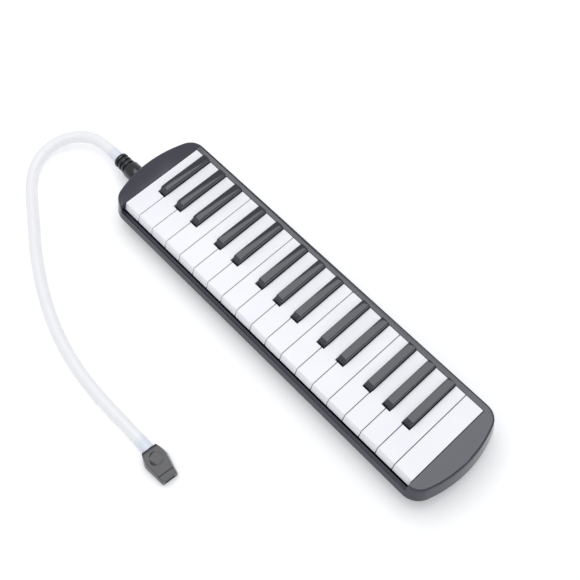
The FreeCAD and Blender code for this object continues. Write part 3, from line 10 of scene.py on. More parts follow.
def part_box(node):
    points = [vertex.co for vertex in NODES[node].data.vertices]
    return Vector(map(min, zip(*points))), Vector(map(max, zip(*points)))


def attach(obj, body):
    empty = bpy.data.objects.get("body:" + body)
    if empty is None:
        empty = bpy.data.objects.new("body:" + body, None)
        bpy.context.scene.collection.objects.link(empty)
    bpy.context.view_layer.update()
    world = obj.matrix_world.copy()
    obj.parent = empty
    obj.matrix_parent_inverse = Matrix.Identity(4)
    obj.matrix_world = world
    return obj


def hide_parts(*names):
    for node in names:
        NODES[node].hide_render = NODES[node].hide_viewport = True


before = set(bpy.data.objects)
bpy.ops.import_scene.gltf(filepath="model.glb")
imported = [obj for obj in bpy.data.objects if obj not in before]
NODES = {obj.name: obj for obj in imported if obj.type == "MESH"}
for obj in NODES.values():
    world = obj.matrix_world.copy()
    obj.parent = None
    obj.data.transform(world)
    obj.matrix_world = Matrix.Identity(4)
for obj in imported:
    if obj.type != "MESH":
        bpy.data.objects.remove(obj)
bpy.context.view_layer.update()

bl_info = {
    "name": "Melodica",
    "version": (1, 0, 0),
    "blender": (4, 5, 0),
    "location": "View3D > Sidebar > Melodica",
    "description": "Builds the looks of a 32-key melodica with its blowing hose",
    "category": "Add Mesh",
}

MM = 0.001
TOLERANCE = 0.01 * MM
DECK_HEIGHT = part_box("upper_case")[1].z
# the hose is pushed this far over the connector's nozzle
NOZZLE_COVER = 12 * MM
WHITE_KEYS = sorted(name for name in NODES if name.startswith("white_key_"))
BLACK_KEYS = sorted(name for name in NODES if name.startswith("black_key_"))


# ---------------------------------------------------------------------------------------------
# Colours and node helpers
# ---------------------------------------------------------------------------------------------
def linear(code):
    """An sRGB hex colour as linear RGBA."""
    channels = [int(code[place : place + 2], 16) / 255 for place in (1, 3, 5)]
    return [c / 12.92 if c <= 0.04045 else ((c + 0.055) / 1.055) ** 2.4 for c in channels] + [1.0]


def add_node(tree, kind, settings=None, inputs=None, links=None):
    """A shader node with its settings, the values of its sockets and the sockets that feed it."""
    node = tree.nodes.new(kind)
    for name, value in (settings or {}).items():
        setattr(node, name, value)
    for name, value in (inputs or {}).items():
        node.inputs[name].default_value = value
    for name, source in (links or {}).items():
        tree.links.new(source, node.inputs[name])
    return node


def new_material(name):
    """A material with an empty node tree, and its surface shader and output in place."""
    material = bpy.data.materials.new(name)
    material.use_nodes = True
    tree = material.node_tree
    tree.nodes.clear()
    shader = add_node(tree, "ShaderNodeBsdfPrincipled")
    add_node(tree, "ShaderNodeOutputMaterial", links={"Surface": shader.outputs["BSDF"]})
    return material, tree, shader


def grain_bump(tree, shader, size, depth, strength, detail=3.0):
    """Fine unevenness of a surface: its size across and its depth, both in metres."""
    place = add_node(tree, "ShaderNodeTexCoord")
    noise = add_node(
        tree,
        "ShaderNodeTexNoise",
        inputs={"Scale": 1 / size, "Detail": detail, "Roughness": 0.55},
        links={"Vector": place.outputs["Object"]},
    )
    bump = add_node(
        tree,
        "ShaderNodeBump",
        inputs={"Strength": strength, "Distance": depth},
        links={"Height": noise.outputs["Fac"]},
    )
    tree.links.new(bump.outputs["Normal"], shader.inputs["Normal"])
    return place, noise


def cloudy_colour(tree, shader, place, size, dark, light, low=0.35, high=0.65):
    """A colour that drifts softly between two shades, as in moulded plastic or rubber."""
    noise = add_node(
        tree,
        "ShaderNodeTexNoise",
        inputs={"Scale": 1 / size, "Detail": 2.0},
        links={"Vector": place.outputs["Object"]},
    )
    ramp = add_node(tree, "ShaderNodeValToRGB", links={"Fac": noise.outputs["Fac"]})
    ramp.color_ramp.elements[0].position = low
    ramp.color_ramp.elements[0].color = linear(dark)
    ramp.color_ramp.elements[1].position = high
    ramp.color_ramp.elements[1].color = linear(light)
    tree.links.new(ramp.outputs["Color"], shader.inputs["Base Color"])
    return ramp


def hand_worn_roughness(tree, shader, place, size, low, high):
    """Gloss that varies a little over the surface, from handling and from the mould."""
    noise = add_node(
        tree,
        "ShaderNodeTexNoise",
        inputs={"Scale": 1 / size, "Detail": 4.0},
        links={"Vector": place.outputs["Object"]},
    )
    spread = add_node(
        tree,
        "ShaderNodeMapRange",
        inputs={"From Min": 0.3, "From Max": 0.7, "To Min": low, "To Max": high},
        links={"Value": noise.outputs["Fac"]},
    )
    tree.links.new(spread.outputs["Result"], shader.inputs["Roughness"])


# ---------------------------------------------------------------------------------------------
# Materials
# ---------------------------------------------------------------------------------------------
def polished_black_abs(name, dark, light, gloss, wall_height=None):
    """Injection-moulded ABS from a polished mould: a deep gloss, with a faint waviness in its reflections.

    Below the wall height the gloss is duller, as on side walls that were never polished.
    """
    material, tree, shader = new_material(name)
    shader.inputs["IOR"].default_value = 1.62
    place, _ = grain_bump(tree, shader, size=9 * MM, depth=0.02 * MM, strength=0.35, detail=1.5)
    cloudy_colour(tree, shader, place, 60 * MM, dark, light)
    hand_worn_roughness(tree, shader, place, 25 * MM, gloss, gloss + 0.03)
    if wall_height:
        parts = add_node(tree, "ShaderNodeSeparateXYZ", links={"Vector": place.outputs["Object"]})
        shine = add_node(
            tree,
            "ShaderNodeMapRange",
            inputs={
                "From Min": wall_height - 1.2 * MM,
                "From Max": wall_height - 0.2 * MM,
                "To Min": 0.12,
                "To Max": 0.5,
            },
            links={"Value": parts.outputs["Z"]},
        )
        tree.links.new(shine.outputs["Result"], shader.inputs["Specular IOR Level"])
    return material


def glossy_white_abs(name, colour):
    """White ABS keys: smooth, softly translucent and cool white, with the least unevenness of the mould."""
    material, tree, shader = new_material(name)
    shader.inputs["IOR"].default_value = 1.54
    shader.inputs["Subsurface Weight"].default_value = 0.08
    shader.inputs["Subsurface Radius"].default_value = (0.002, 0.002, 0.0022)
    place, _ = grain_bump(tree, shader, size=12 * MM, depth=0.01 * MM, strength=0.3, detail=1.0)
    cloudy_colour(tree, shader, place, 40 * MM, colour[0], colour[1])
    hand_worn_roughness(tree, shader, place, 18 * MM, 0.14, 0.20)
    return material


def milky_pvc(name, ends):
    """Soft extruded PVC: milky and slightly clear, a little bluer where it is stretched over a nozzle."""
    material, tree, shader = new_material(name)
    shader.inputs["IOR"].default_value = 1.52
    shader.inputs["Subsurface Weight"].default_value = 0.35
    shader.inputs["Subsurface Radius"].default_value = (0.004, 0.004, 0.0045)
    shader.inputs["Roughness"].default_value = 0.36
    place = add_node(tree, "ShaderNodeTexCoord")
    distances = []
    for end in ends:
        away = add_node(
            tree,
            "ShaderNodeVectorMath",
            {"operation": "DISTANCE"},
            links={0: place.outputs["Object"]},
        )
        away.inputs[1].default_value = end
        distances.append(away.outputs["Value"])
    nearest = add_node(
        tree,
        "ShaderNodeMath",
        {"operation": "MINIMUM"},
        links={0: distances[0], 1: distances[1]},
    )
    near = nearest.outputs["Value"]
    shade = add_node(
        tree,
        "ShaderNodeMapRange",
        inputs={"From Min": 11 * MM, "From Max": 17 * MM},
        links={"Value": near},
    )
    ramp = add_node(tree, "ShaderNodeValToRGB", links={"Fac": shade.outputs["Result"]})
    ramp.color_ramp.elements[0].color = linear("#E6EBF4")
    ramp.color_ramp.elements[1].color = linear("#F8F8F9")
    tree.links.new(ramp.outputs["Color"], shader.inputs["Base Color"])
    # low rings round the hose, that fade out away from each end
    ring_spacing = 3.2 * MM
    turns = add_node(
        tree,
        "ShaderNodeMath",
        {"operation": "MULTIPLY"},
        inputs={1: 2 * math.pi / ring_spacing},
        links={0: near},
    )
    rings = add_node(
        tree,
        "ShaderNodeMath",
        {"operation": "SINE"},
        links={0: turns.outputs["Value"]},
    )
    fading = add_node(
        tree,
        "ShaderNodeMapRange",
        inputs={"From Min": 8 * MM, "From Max": 13 * MM, "To Min": 1.0, "To Max": 0.0},
        links={"Value": near},
    )
    ridge = add_node(
        tree,
        "ShaderNodeMath",
        {"operation": "MULTIPLY"},
        links={0: rings.outputs["Value"], 1: fading.outputs["Result"]},
    )
    noise = add_node(
        tree,
        "ShaderNodeTexNoise",
        inputs={"Scale": 1 / (5 * MM), "Detail": 2.0},
        links={"Vector": place.outputs["Object"]},
    )
    height = add_node(
        tree,
        "ShaderNodeMath",
        {"operation": "ADD"},
        links={0: ridge.outputs["Value"], 1: noise.outputs["Fac"]},
    )
    bump = add_node(
        tree,
        "ShaderNodeBump",
        inputs={"Strength": 0.5, "Distance": 0.12 * MM},
        links={"Height": height.outputs["Value"]},
    )
    tree.links.new(bump.outputs["Normal"], shader.inputs["Normal"])
    return material


def moulded_grey_abs(name, dark, light):
    """Unpolished ABS of the inner parts: matt, with the mould's fine spark-eroded grain."""
    material, tree, shader = new_material(name)
    place, _ = grain_bump(tree, shader, size=0.8 * MM, depth=0.05 * MM, strength=0.6)
    cloudy_colour(tree, shader, place, 30 * MM, dark, light)
    hand_worn_roughness(tree, shader, place, 10 * MM, 0.5, 0.62)
    return material


def soft_rubber(name, dark, light):
    """Moulded rubber: matt and dusty black, with a fine pebbled grain."""
    material, tree, shader = new_material(name)
    place, _ = grain_bump(tree, shader, size=0.6 * MM, depth=0.08 * MM, strength=0.7)
    cloudy_colour(tree, shader, place, 8 * MM, dark, light)
    hand_worn_roughness(tree, shader, place, 5 * MM, 0.7, 0.85)
    return material


def rolled_metal(name, colour, tint, line_spacing, roughness):
    """Rolled or drawn metal: fine lines along the keyboard and a soft brushed shine."""
    material, tree, shader = new_material(name)
    shader.inputs["Metallic"].default_value = 1.0
    place = add_node(tree, "ShaderNodeTexCoord")
    stretch = add_node(
        tree,
        "ShaderNodeMapping",
        inputs={"Scale": (0.04, 1.0, 1.0)},
        links={"Vector": place.outputs["Object"]},
    )
    lines = add_node(
        tree,
        "ShaderNodeTexNoise",
        inputs={"Scale": 1 / line_spacing, "Detail": 3.0},
        links={"Vector": stretch.outputs["Vector"]},
    )
    bump = add_node(
        tree,
        "ShaderNodeBump",
        inputs={"Strength": 0.3, "Distance": 0.02 * MM},
        links={"Height": lines.outputs["Fac"]},
    )
    tree.links.new(bump.outputs["Normal"], shader.inputs["Normal"])
    cloudy_colour(tree, shader, place, 20 * MM, colour, tint)
    hand_worn_roughness(tree, shader, place, 6 * MM, roughness, roughness + 0.12)
    return material


def pressed_felt(name, dark, light):
    """Pressed wool felt: no shine, a soft fibrous nap and a slight sheen at its edges."""
    material, tree, shader = new_material(name)
    shader.inputs["Roughness"].default_value = 0.95
    shader.inputs["Sheen Weight"].default_value = 0.4
    place, _ = grain_bump(tree, shader, size=0.35 * MM, depth=0.15 * MM, strength=0.9)
    cloudy_colour(tree, shader, place, 1.2 * MM, dark, light)
    return material


MATERIALS = {
    "case": polished_black_abs(
        "polished_black_abs_case", "#33343F", "#373843", 0.07, wall_height=DECK_HEIGHT
    ),
    "black_keys": polished_black_abs("polished_black_abs_keys", "#272831", "#2B2C35", 0.05),
    "mouthpiece": polished_black_abs("polished_black_abs_mouthpiece", "#2A2A2D", "#333336", 0.12),
    "connector": polished_black_abs("black_abs_connector", "#141518", "#1E2023", 0.17),
    "white_keys": glossy_white_abs("glossy_white_abs", ("#F2F2F6", "#F5F5F8")),
    "inner": moulded_grey_abs("moulded_grey_abs", "#2A2B2D", "#333436"),
    "gasket": soft_rubber("soft_grey_rubber", "#2C2C2E", "#3A3A3C"),
    "feet": soft_rubber("soft_black_rubber", "#161617", "#222223"),
    "aluminium": rolled_metal("rolled_aluminium", "#C9CACC", "#DADBDD", 0.6 * MM, 0.30),
    "brass": rolled_metal("rolled_reed_brass", "#C8A45C", "#D9BA74", 0.4 * MM, 0.26),
    "steel": rolled_metal("plated_steel", "#A9AAAD", "#BFC0C3", 0.5 * MM, 0.28),
    "felt": pressed_felt("pressed_green_felt", "#1E2A26", "#2B3A34"),
}

NODE_MATERIALS = {
    "lower_case": "case",
    "blow_socket": "case",
    "drain_button": "case",
    "case_screws": "steel",
    "chest_screws": "steel",
    "reed_plate_screws": "steel",
    "key_axle": "steel",
    "key_springs": "steel",
    "drain_spring": "steel",
    "rubber_feet": "feet",
    "wind_chest": "inner",
    "chest_cover": "inner",
    "key_guide_strip": "inner",
    "chest_gasket": "gasket",
    "socket_seal": "gasket",
    "drain_seal": "gasket",
    "reed_plate_low": "aluminium",
    "reed_plate_high": "aluminium",
    "reeds_low": "brass",
    "reeds_high": "brass",
    "reed_rivets": "brass",
    "front_felt": "felt",
}


# ---------------------------------------------------------------------------------------------
# Modelling helpers
# ---------------------------------------------------------------------------------------------
def clear_selection():
    """Select no object."""
    bpy.ops.object.select_all(action="DESELECT")


def paint(piece, material):
    """The one material of a piece."""
    piece.data.materials.clear()
    piece.data.materials.append(material)


def copy_of_node(node, name):
    """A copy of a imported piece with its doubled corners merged, open for editing."""
    piece = NODES[node].copy()
    piece.data = NODES[node].data.copy()
    piece.name = name
    piece.data.name = name
    for key in list(piece.keys()):
        del piece[key]
    piece.parent = None
    bpy.context.collection.objects.link(piece)
    clear_selection()
    piece.select_set(True)
    bpy.context.view_layer.objects.active = piece
    bpy.ops.object.mode_set(mode="EDIT")
    bpy.ops.mesh.select_all(action="SELECT")
    bpy.ops.mesh.remove_doubles(threshold=0.001 * MM)
    return piece


def start_piece(name):
    """The primitive just added, named, with its place and size written into its mesh, open for editing."""
    piece = bpy.context.object
    piece.name = name
    piece.data.name = name
    bpy.ops.object.transform_apply(location=True, rotation=True, scale=True)
    bpy.ops.object.mode_set(mode="EDIT")
    return piece


def select_where(piece, test, kind="verts"):
    """Select only the corners, edges or faces that the test picks."""
    bpy.ops.mesh.select_mode(type={"verts": "VERT", "edges": "EDGE", "faces": "FACE"}[kind])
    bpy.ops.mesh.select_all(action="DESELECT")
    shape = bmesh.from_edit_mesh(piece.data)
    picked = 0
    for item in getattr(shape, kind):
        chosen = bool(test(item))
        item.select_set(chosen)
        picked += chosen
    shape.select_flush_mode()
    bmesh.update_edit_mesh(piece.data)
    if not picked:
        raise RuntimeError(f"{piece.name}: nothing to select")
    return picked


def slice_at(piece, axis, place):
    """New edges right round the piece where a plane across an axis meets it."""
    bpy.ops.mesh.select_all(action="SELECT")
    point = [0.0, 0.0, 0.0]
    normal = [0.0, 0.0, 0.0]
    point[axis] = place
    normal[axis] = 1.0
    bpy.ops.mesh.bisect(plane_co=point, plane_no=normal)


def grow(factors, centre):
    """Scale what is selected about a centre."""
    bpy.ops.transform.resize(value=factors, center_override=centre)


def shift(offset):
    """Move what is selected."""
    bpy.ops.transform.translate(value=offset)


def use_modifier(piece, kind, settings):
    """Add a modifier with its settings and apply it."""
    bpy.context.view_layer.objects.active = piece
    modifier = piece.modifiers.new(kind.title(), kind)
    for name, value in settings.items():
        setattr(modifier, name, value)
    bpy.ops.object.modifier_apply(modifier=modifier.name)


def flatten_shading(piece):
    """Let the largest faces set the shading at their corners, so that flat faces stay flat."""
    settings = {"mode": "FACE_AREA", "weight": 100, "keep_sharp": True}
    use_modifier(piece, "WEIGHTED_NORMAL", settings)


def round_edges(piece, width, segments, angle):
    """Bevel every edge that is sharper than an angle in degrees."""
    settings = {
        "width": width,
        "segments": segments,
        "limit_method": "ANGLE",
        "angle_limit": math.radians(angle),
    }
    use_modifier(piece, "BEVEL", settings)


def close_piece(piece, angle=35):
    """Leave edit mode with the faces outwards, and shade the curved parts smooth."""
    bpy.ops.mesh.select_all(action="SELECT")
    bpy.ops.mesh.remove_doubles(threshold=0.001 * MM)
    bpy.ops.mesh.normals_make_consistent(inside=False)
    bpy.ops.object.mode_set(mode="OBJECT")
    clear_selection()
    piece.select_set(True)
    bpy.context.view_layer.objects.active = piece
    bpy.ops.object.shade_smooth_by_angle(angle=math.radians(angle))


def turned(name, centre, profile, steps=72):
    """A turned piece about an axis along X, drawn out from one (x, radius) point of its profile to the next."""
    clear_selection()
    x, radius = profile[0]
    bpy.ops.mesh.primitive_circle_add(
        vertices=steps,
        radius=radius,
        fill_type="NOTHING",
        location=(x, centre[1], centre[2]),
        rotation=(0, math.pi / 2, 0),
    )
    piece = start_piece(name)
    bpy.ops.mesh.select_all(action="SELECT")
    for (x, radius), (next_x, next_radius) in zip(profile, profile[1:]):
        bpy.ops.mesh.extrude_region_move(TRANSFORM_OT_translate={"value": (next_x - x, 0, 0)})
        share = next_radius / radius
        grow((1, share, share), (next_x, centre[1], centre[2]))
    select_where(piece, lambda edge: edge.is_boundary, "edges")
    bpy.ops.mesh.bridge_edge_loops()
    close_piece(piece)
    return piece


# ---------------------------------------------------------------------------------------------
# Sizes and colours that a user would change
# ---------------------------------------------------------------------------------------------
class HoseSizes(bpy.types.PropertyGroup):
    diameter: FloatProperty(
        name="Diameter", description="Outer diameter of the hose", default=12 * MM, unit="LENGTH"
    )
    length: FloatProperty(
        name="Length",
        description="Real length of the hose along its middle",
        default=447.6 * MM,
        unit="LENGTH",
    )


class BlackKeySizes(bpy.types.PropertyGroup):
    crown: FloatProperty(
        name="Crown",
        description="Height of the middle of a black key's top above its sides",
        default=0.22 * MM,
        unit="LENGTH",
    )
    taper: FloatProperty(
        name="Taper", description="Width of a black key's top as a share of its foot", default=0.93
    )
    edge: FloatProperty(
        name="Edge", description="Rounding along a black key's edges", default=0.75 * MM, unit="LENGTH"
    )


class CaseSizes(bpy.types.PropertyGroup):
    deck_edge: FloatProperty(
        name="Deck edge", description="Rounding along the deck's outline", default=0.7 * MM, unit="LENGTH"
    )
    rail_edge: FloatProperty(
        name="Rail edge", description="Rounding along the keyboard's opening", default=0.4 * MM, unit="LENGTH"
    )
    rail_slope: FloatProperty(
        name="Rail slope",
        description="Width of the rear rail's slope towards the keys",
        default=3.6 * MM,
        unit="LENGTH",
    )
    rail_drop: FloatProperty(
        name="Rail drop", description="Fall of the rear rail's slope", default=0.35 * MM, unit="LENGTH"
    )
    rim_edge: FloatProperty(
        name="Rim edge", description="Rounding along the front rim", default=0.5 * MM, unit="LENGTH"
    )


class MouthpieceSizes(bpy.types.PropertyGroup):
    dome: FloatProperty(
        name="Dome", description="Radius of the round dome on top", default=6.2 * MM, unit="LENGTH"
    )
    dome_height: FloatProperty(
        name="Dome height", description="Height of the dome on top", default=0.78 * MM, unit="LENGTH"
    )
    edge: FloatProperty(
        name="Edge", description="Rounding along the mouthpiece's edges", default=0.45 * MM, unit="LENGTH"
    )
    turn: FloatProperty(
        name="Turn",
        description="Turn of the mouthpiece on the hose's end",
        default=math.radians(5.5),
        subtype="ANGLE",
    )


class StudioSettings(bpy.types.PropertyGroup):
    floor_colour: FloatVectorProperty(
        name="Floor",
        description="Colour of the floor",
        default=linear("#FCFCFC")[:3],
        subtype="COLOR",
        size=3,
    )
    floor_glow: FloatProperty(
        name="Floor glow", description="Light of the floor's own, as from a lit paper", default=0.2
    )
    brightness: FloatProperty(
        name="Brightness", description="Strength of the soft light all round", default=1.0
    )
    softbox: FloatProperty(
        name="Softbox", description="Radiance of the large light overhead", default=1.85
    )


PROPERTY_GROUPS = {
    "melodica_hose": HoseSizes,
    "melodica_black_keys": BlackKeySizes,
    "melodica_case": CaseSizes,
    "melodica_mouthpiece": MouthpieceSizes,
    "melodica_studio": StudioSettings,
}


# ---------------------------------------------------------------------------------------------
# Camera, then the hose with the pieces on it
# ---------------------------------------------------------------------------------------------
class MELODICA_OT_camera(bpy.types.Operator):
    """Add the camera that looks down on the instrument from the player's right"""

    bl_idname = "melodica.camera"
    bl_label = "Camera"

    def execute(self, context):
        clear_selection()
        place = Vector((0.2766, -0.2722, 0.8146))
        aim = Vector((-0.0184, 0.0115, 0.020))
        roll = Quaternion((0, 0, 1), math.radians(0.41))
        turn = (aim - place).to_track_quat("-Z", "Y") @ roll
        bpy.ops.object.camera_add(location=place, rotation=turn.to_euler())
        camera = context.object
        camera.name = "camera"
        camera.data.lens = 59.9
        camera.data.sensor_width = 36
        camera.data.shift_x = -0.0010
        camera.data.shift_y = -0.0006
        context.scene.camera = camera
        return {"FINISHED"}


def connector_profile():
    """(x, radius) points of the connector's outline, from the hose's end along the outside to the plug."""
    low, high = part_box("hose_connector")
    hose_end = low.x + NOZZLE_COVER
    case_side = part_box("blow_socket")[0].x
    plug_end = high.x
    radius = {
        "nozzle": 4.4 * MM,
        "collar": 7.9 * MM,
        "neck": 6.5 * MM,
        "barrel": 9.2 * MM,
        "plug": 6.34 * MM,
        "air": 3.2 * MM,
    }
    nozzle_edge = 0.3 * MM
    plug_edge = 0.5 * MM
    gap = 2.2 * MM
    profile = [
        (low.x, radius["air"]),
        (low.x, radius["nozzle"] - nozzle_edge),
        (low.x + nozzle_edge, radius["nozzle"]),
        (hose_end, radius["nozzle"]),
    ]

    def collar(start, length, outside, edge):
        """A rounded band that stands up between two places."""
        end = start + length
        corner = edge * 0.3
        profile.extend(
            [
                (start, outside - edge),
                (start + corner, outside - corner),
                (start + edge, outside),
                (end - edge, outside),
                (end - corner, outside - corner),
                (end, outside - edge),
            ]
        )

    x = hose_end
    for length in (3.4 * MM, 2.6 * MM, 2.6 * MM):
        collar(x, length, radius["collar"], 0.6 * MM)
        x += length
        profile.append((x, radius["neck"]))
        profile.append((x + gap, radius["neck"]))
        x += gap
    collar(x, case_side - x, radius["barrel"], 0.9 * MM)
    profile.append((case_side, radius["plug"]))
    profile.append((plug_end - plug_edge, radius["plug"]))
    profile.append((plug_end, radius["plug"] - plug_edge))
    profile.append((plug_end, radius["air"]))
    return profile


class MELODICA_OT_connector(bpy.types.Operator):
    """Turn the ribbed connector that plugs the hose into the case"""

    bl_idname = "melodica.connector"
    bl_label = "Hose connector"

    def execute(self, context):
        low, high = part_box("hose_connector")
        piece = turned("hose_connector_turned", (low + high) / 2, connector_profile())
        paint(piece, MATERIALS["connector"])
        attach(piece, "hose")
        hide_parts("hose_connector")
        return {"FINISHED"}


class MELODICA_OT_mouthpiece(bpy.types.Operator):
    """Shape the flat mouthpiece with its bevelled sides, round dome, stepped lip and blowing slot"""

    bl_idname = "melodica.mouthpiece"
    bl_label = "Mouthpiece"

    LIP_LENGTH = 6.0 * MM
    WIDEST_LINE = 4.4 * MM
    FOOT_SHARE = 0.88
    DOME_PLACE = 9.5 * MM
    DOME_OFFSET = 0.3 * MM
    DOME_BASE = 12.1 * MM
    SLOT_SIZE = (20 * MM, 10 * MM, 3 * MM)
    SLOT_BACK = 8 * MM
    SLOT_HEIGHT = 4.3 * MM
    BORE_RADIUS = 4.5 * MM
    BORE_LENGTH = 16.5 * MM
    BORE_MIDDLE = 7.25 * MM
    BORE_HEIGHT = 6.1 * MM

    def execute(self, context):
        sizes = context.scene.melodica_mouthpiece
        low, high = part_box("mouthpiece")
        size = high - low
        middle = (low + high) / 2
        clear_selection()
        bpy.ops.mesh.primitive_cube_add(size=1, location=middle, scale=size)
        piece = start_piece("mouthpiece_shaped")
        lip = high.x - self.LIP_LENGTH
        # place along X: width at the widest line, width of the top and height of the top, in mm
        stations = {
            low.x: (15.6, 14.6, 11.7),
            low.x + 4.0 * MM: (19.6, 17.2, 12.4),
            low.x + 8.0 * MM: (22.4, 19.0, 12.3),
            low.x + 10.0 * MM: (23.0, 19.4, 12.1),
            low.x + 13.0 * MM: (22.4, 18.8, 11.7),
            lip: (18.0, 15.0, 9.3),
            lip + 0.4 * MM: (17.9, 14.8, 8.7),
            high.x: (16.2, 13.4, 8.4),
        }
        for place in list(stations)[1:-1]:
            slice_at(piece, 0, place)
        slice_at(piece, 2, low.z + self.WIDEST_LINE)
        slice_at(piece, 1, middle.y)
        full = size.y / MM
        below_top = high.z - MM
        for place, (width, top_width, height) in stations.items():

            def at_place(v, x=place):
                return abs(v.co.x - x) < TOLERANCE

            select_where(piece, lambda v: at_place(v) and v.co.z < below_top)
            grow((1, width / full, 1), middle)
            select_where(piece, lambda v: at_place(v) and v.co.z > below_top)
            grow((1, top_width / full, 1), middle)
            shift((0, 0, low.z + height * MM - high.z))
        # the sides lean in below the widest line as well
        select_where(piece, lambda v: v.co.z < low.z + 0.5 * MM)
        grow((1, self.FOOT_SHARE, 1), middle)
        bpy.ops.object.mode_set(mode="OBJECT")
        round_edges(piece, sizes.edge, segments=3, angle=14)
        self.raise_dome(piece, low, middle, sizes)
        self.cut_with_slot(piece, high, middle)
        self.cut_with_bore(piece, low, middle)
        bpy.ops.object.mode_set(mode="EDIT")
        bpy.ops.mesh.select_all(action="SELECT")
        bpy.ops.transform.rotate(
            value=sizes.turn, orient_axis="Z", center_override=(low.x, middle.y, middle.z)
        )
        close_piece(piece, 28)
        flatten_shading(piece)
        paint(piece, MATERIALS["mouthpiece"])
        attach(piece, "hose")
        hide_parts("mouthpiece")
        return {"FINISHED"}

    def combine(self, piece, tool, operation):
        """Join a second solid to the piece or cut it away, and leave only the piece."""
        use_modifier(piece, "BOOLEAN", {"operation": operation, "object": tool, "solver": "EXACT"})
        bpy.data.objects.remove(tool)
        clear_selection()
        piece.select_set(True)

    def raise_dome(self, piece, low, middle, sizes):
        """The round end of the hose's socket, that stands a little out of the flat top."""
        ball = (sizes.dome**2 + sizes.dome_height**2) / (2 * sizes.dome_height)
        base = low.z + self.DOME_BASE
        clear_selection()
        bpy.ops.mesh.primitive_uv_sphere_add(
            segments=128,
            ring_count=128,
            radius=ball,
            location=(
                low.x + self.DOME_PLACE,
                middle.y + self.DOME_OFFSET,
                base + sizes.dome_height - ball,
            ),
        )
        dome = start_piece("dome")
        select_where(dome, lambda v: v.co.z < base - 0.6 * MM)
        bpy.ops.mesh.delete(type="VERT")
        select_where(dome, lambda edge: edge.is_boundary, "edges")
        bpy.ops.mesh.edge_face_add()
        bpy.ops.object.mode_set(mode="OBJECT")
        self.combine(piece, dome, "UNION")

    def cut_with_slot(self, piece, high, middle):
        """The flat slot in the lip, that is blown into."""
        clear_selection()
        bpy.ops.mesh.primitive_cube_add(
            size=1,
            location=(high.x - self.SLOT_BACK, middle.y, self.SLOT_HEIGHT),
            scale=self.SLOT_SIZE,
        )
        self.combine(piece, bpy.context.object, "DIFFERENCE")

    def cut_with_bore(self, piece, low, middle):
        """The round bore that holds the hose's end and meets the slot."""
        clear_selection()
        bpy.ops.mesh.primitive_cylinder_add(
            vertices=64,
            radius=self.BORE_RADIUS,
            depth=self.BORE_LENGTH,
            location=(low.x + self.BORE_MIDDLE, middle.y, self.BORE_HEIGHT),
            rotation=(0, math.pi / 2, 0),
        )
        self.combine(piece, bpy.context.object, "DIFFERENCE")


class MELODICA_OT_hose(bpy.types.Operator):
    """Lay the milky hose from the connector round to the mouthpiece, on one smooth curve"""

    bl_idname = "melodica.hose"
    bl_label = "Hose"

    def execute(self, context):
        sizes = context.scene.melodica_hose
        radius = sizes.diameter / 2
        start = Vector((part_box("hose_connector")[0].x + NOZZLE_COVER, -11.0 * MM, 20.0 * MM))
        rest = radius + 0.1 * MM
        route = [
            start,
            start - Vector((13.0 * MM, 0, 0)),
            Vector((-276.8, -11.6, 19.2)) * MM,
            Vector((-296.9, -24.7, 16.4)) * MM,
            Vector((-306.9, -47.2, 12.9)) * MM,
            Vector((-302.8, -71.9, 9.6)) * MM,
            Vector((-284.2, -92.6, 7.1)) * MM,
        ]
        route += [
            Vector((x * MM, y * MM, rest))
            for x, y in (
                (-256.0, -110.6),
                (-221.0, -134.0),
                (-182.0, -154.6),
                (-140.0, -170.6),
                (-98.0, -179.4),
                (-58.0, -181.6),
                (-24.0, -180.6),
                (6.0, -180.6),
            )
        ]
        clear_selection()
        line = bpy.data.curves.new("hose_tube", "CURVE")
        line.dimensions = "3D"
        spline = line.splines.new("NURBS")
        spline.points.add(len(route) - 1)
        for point, place in zip(spline.points, route):
            point.co = (*place, 1.0)
        spline.order_u = 3
        spline.use_endpoint_u = True
        line.bevel_depth = radius
        line.bevel_resolution = 12
        line.resolution_u = 16
        line.use_fill_caps = True
        hose = bpy.data.objects.new("hose_tube", line)
        context.collection.objects.link(hose)
        hose.data.materials.append(milky_pvc("milky_pvc_hose", (route[0], route[-1])))
        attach(hose, "hose")
        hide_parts("hose")
        return {"FINISHED"}


# ---------------------------------------------------------------------------------------------
# Keys
# ---------------------------------------------------------------------------------------------
class MELODICA_OT_white_keys(bpy.types.Operator):
    """Finish the white keys in cool white glossy plastic"""

    bl_idname = "melodica.white_keys"
    bl_label = "White keys"

    def execute(self, context):
        for name in WHITE_KEYS:
            paint(NODES[name], MATERIALS["white_keys"])
        return {"FINISHED"}


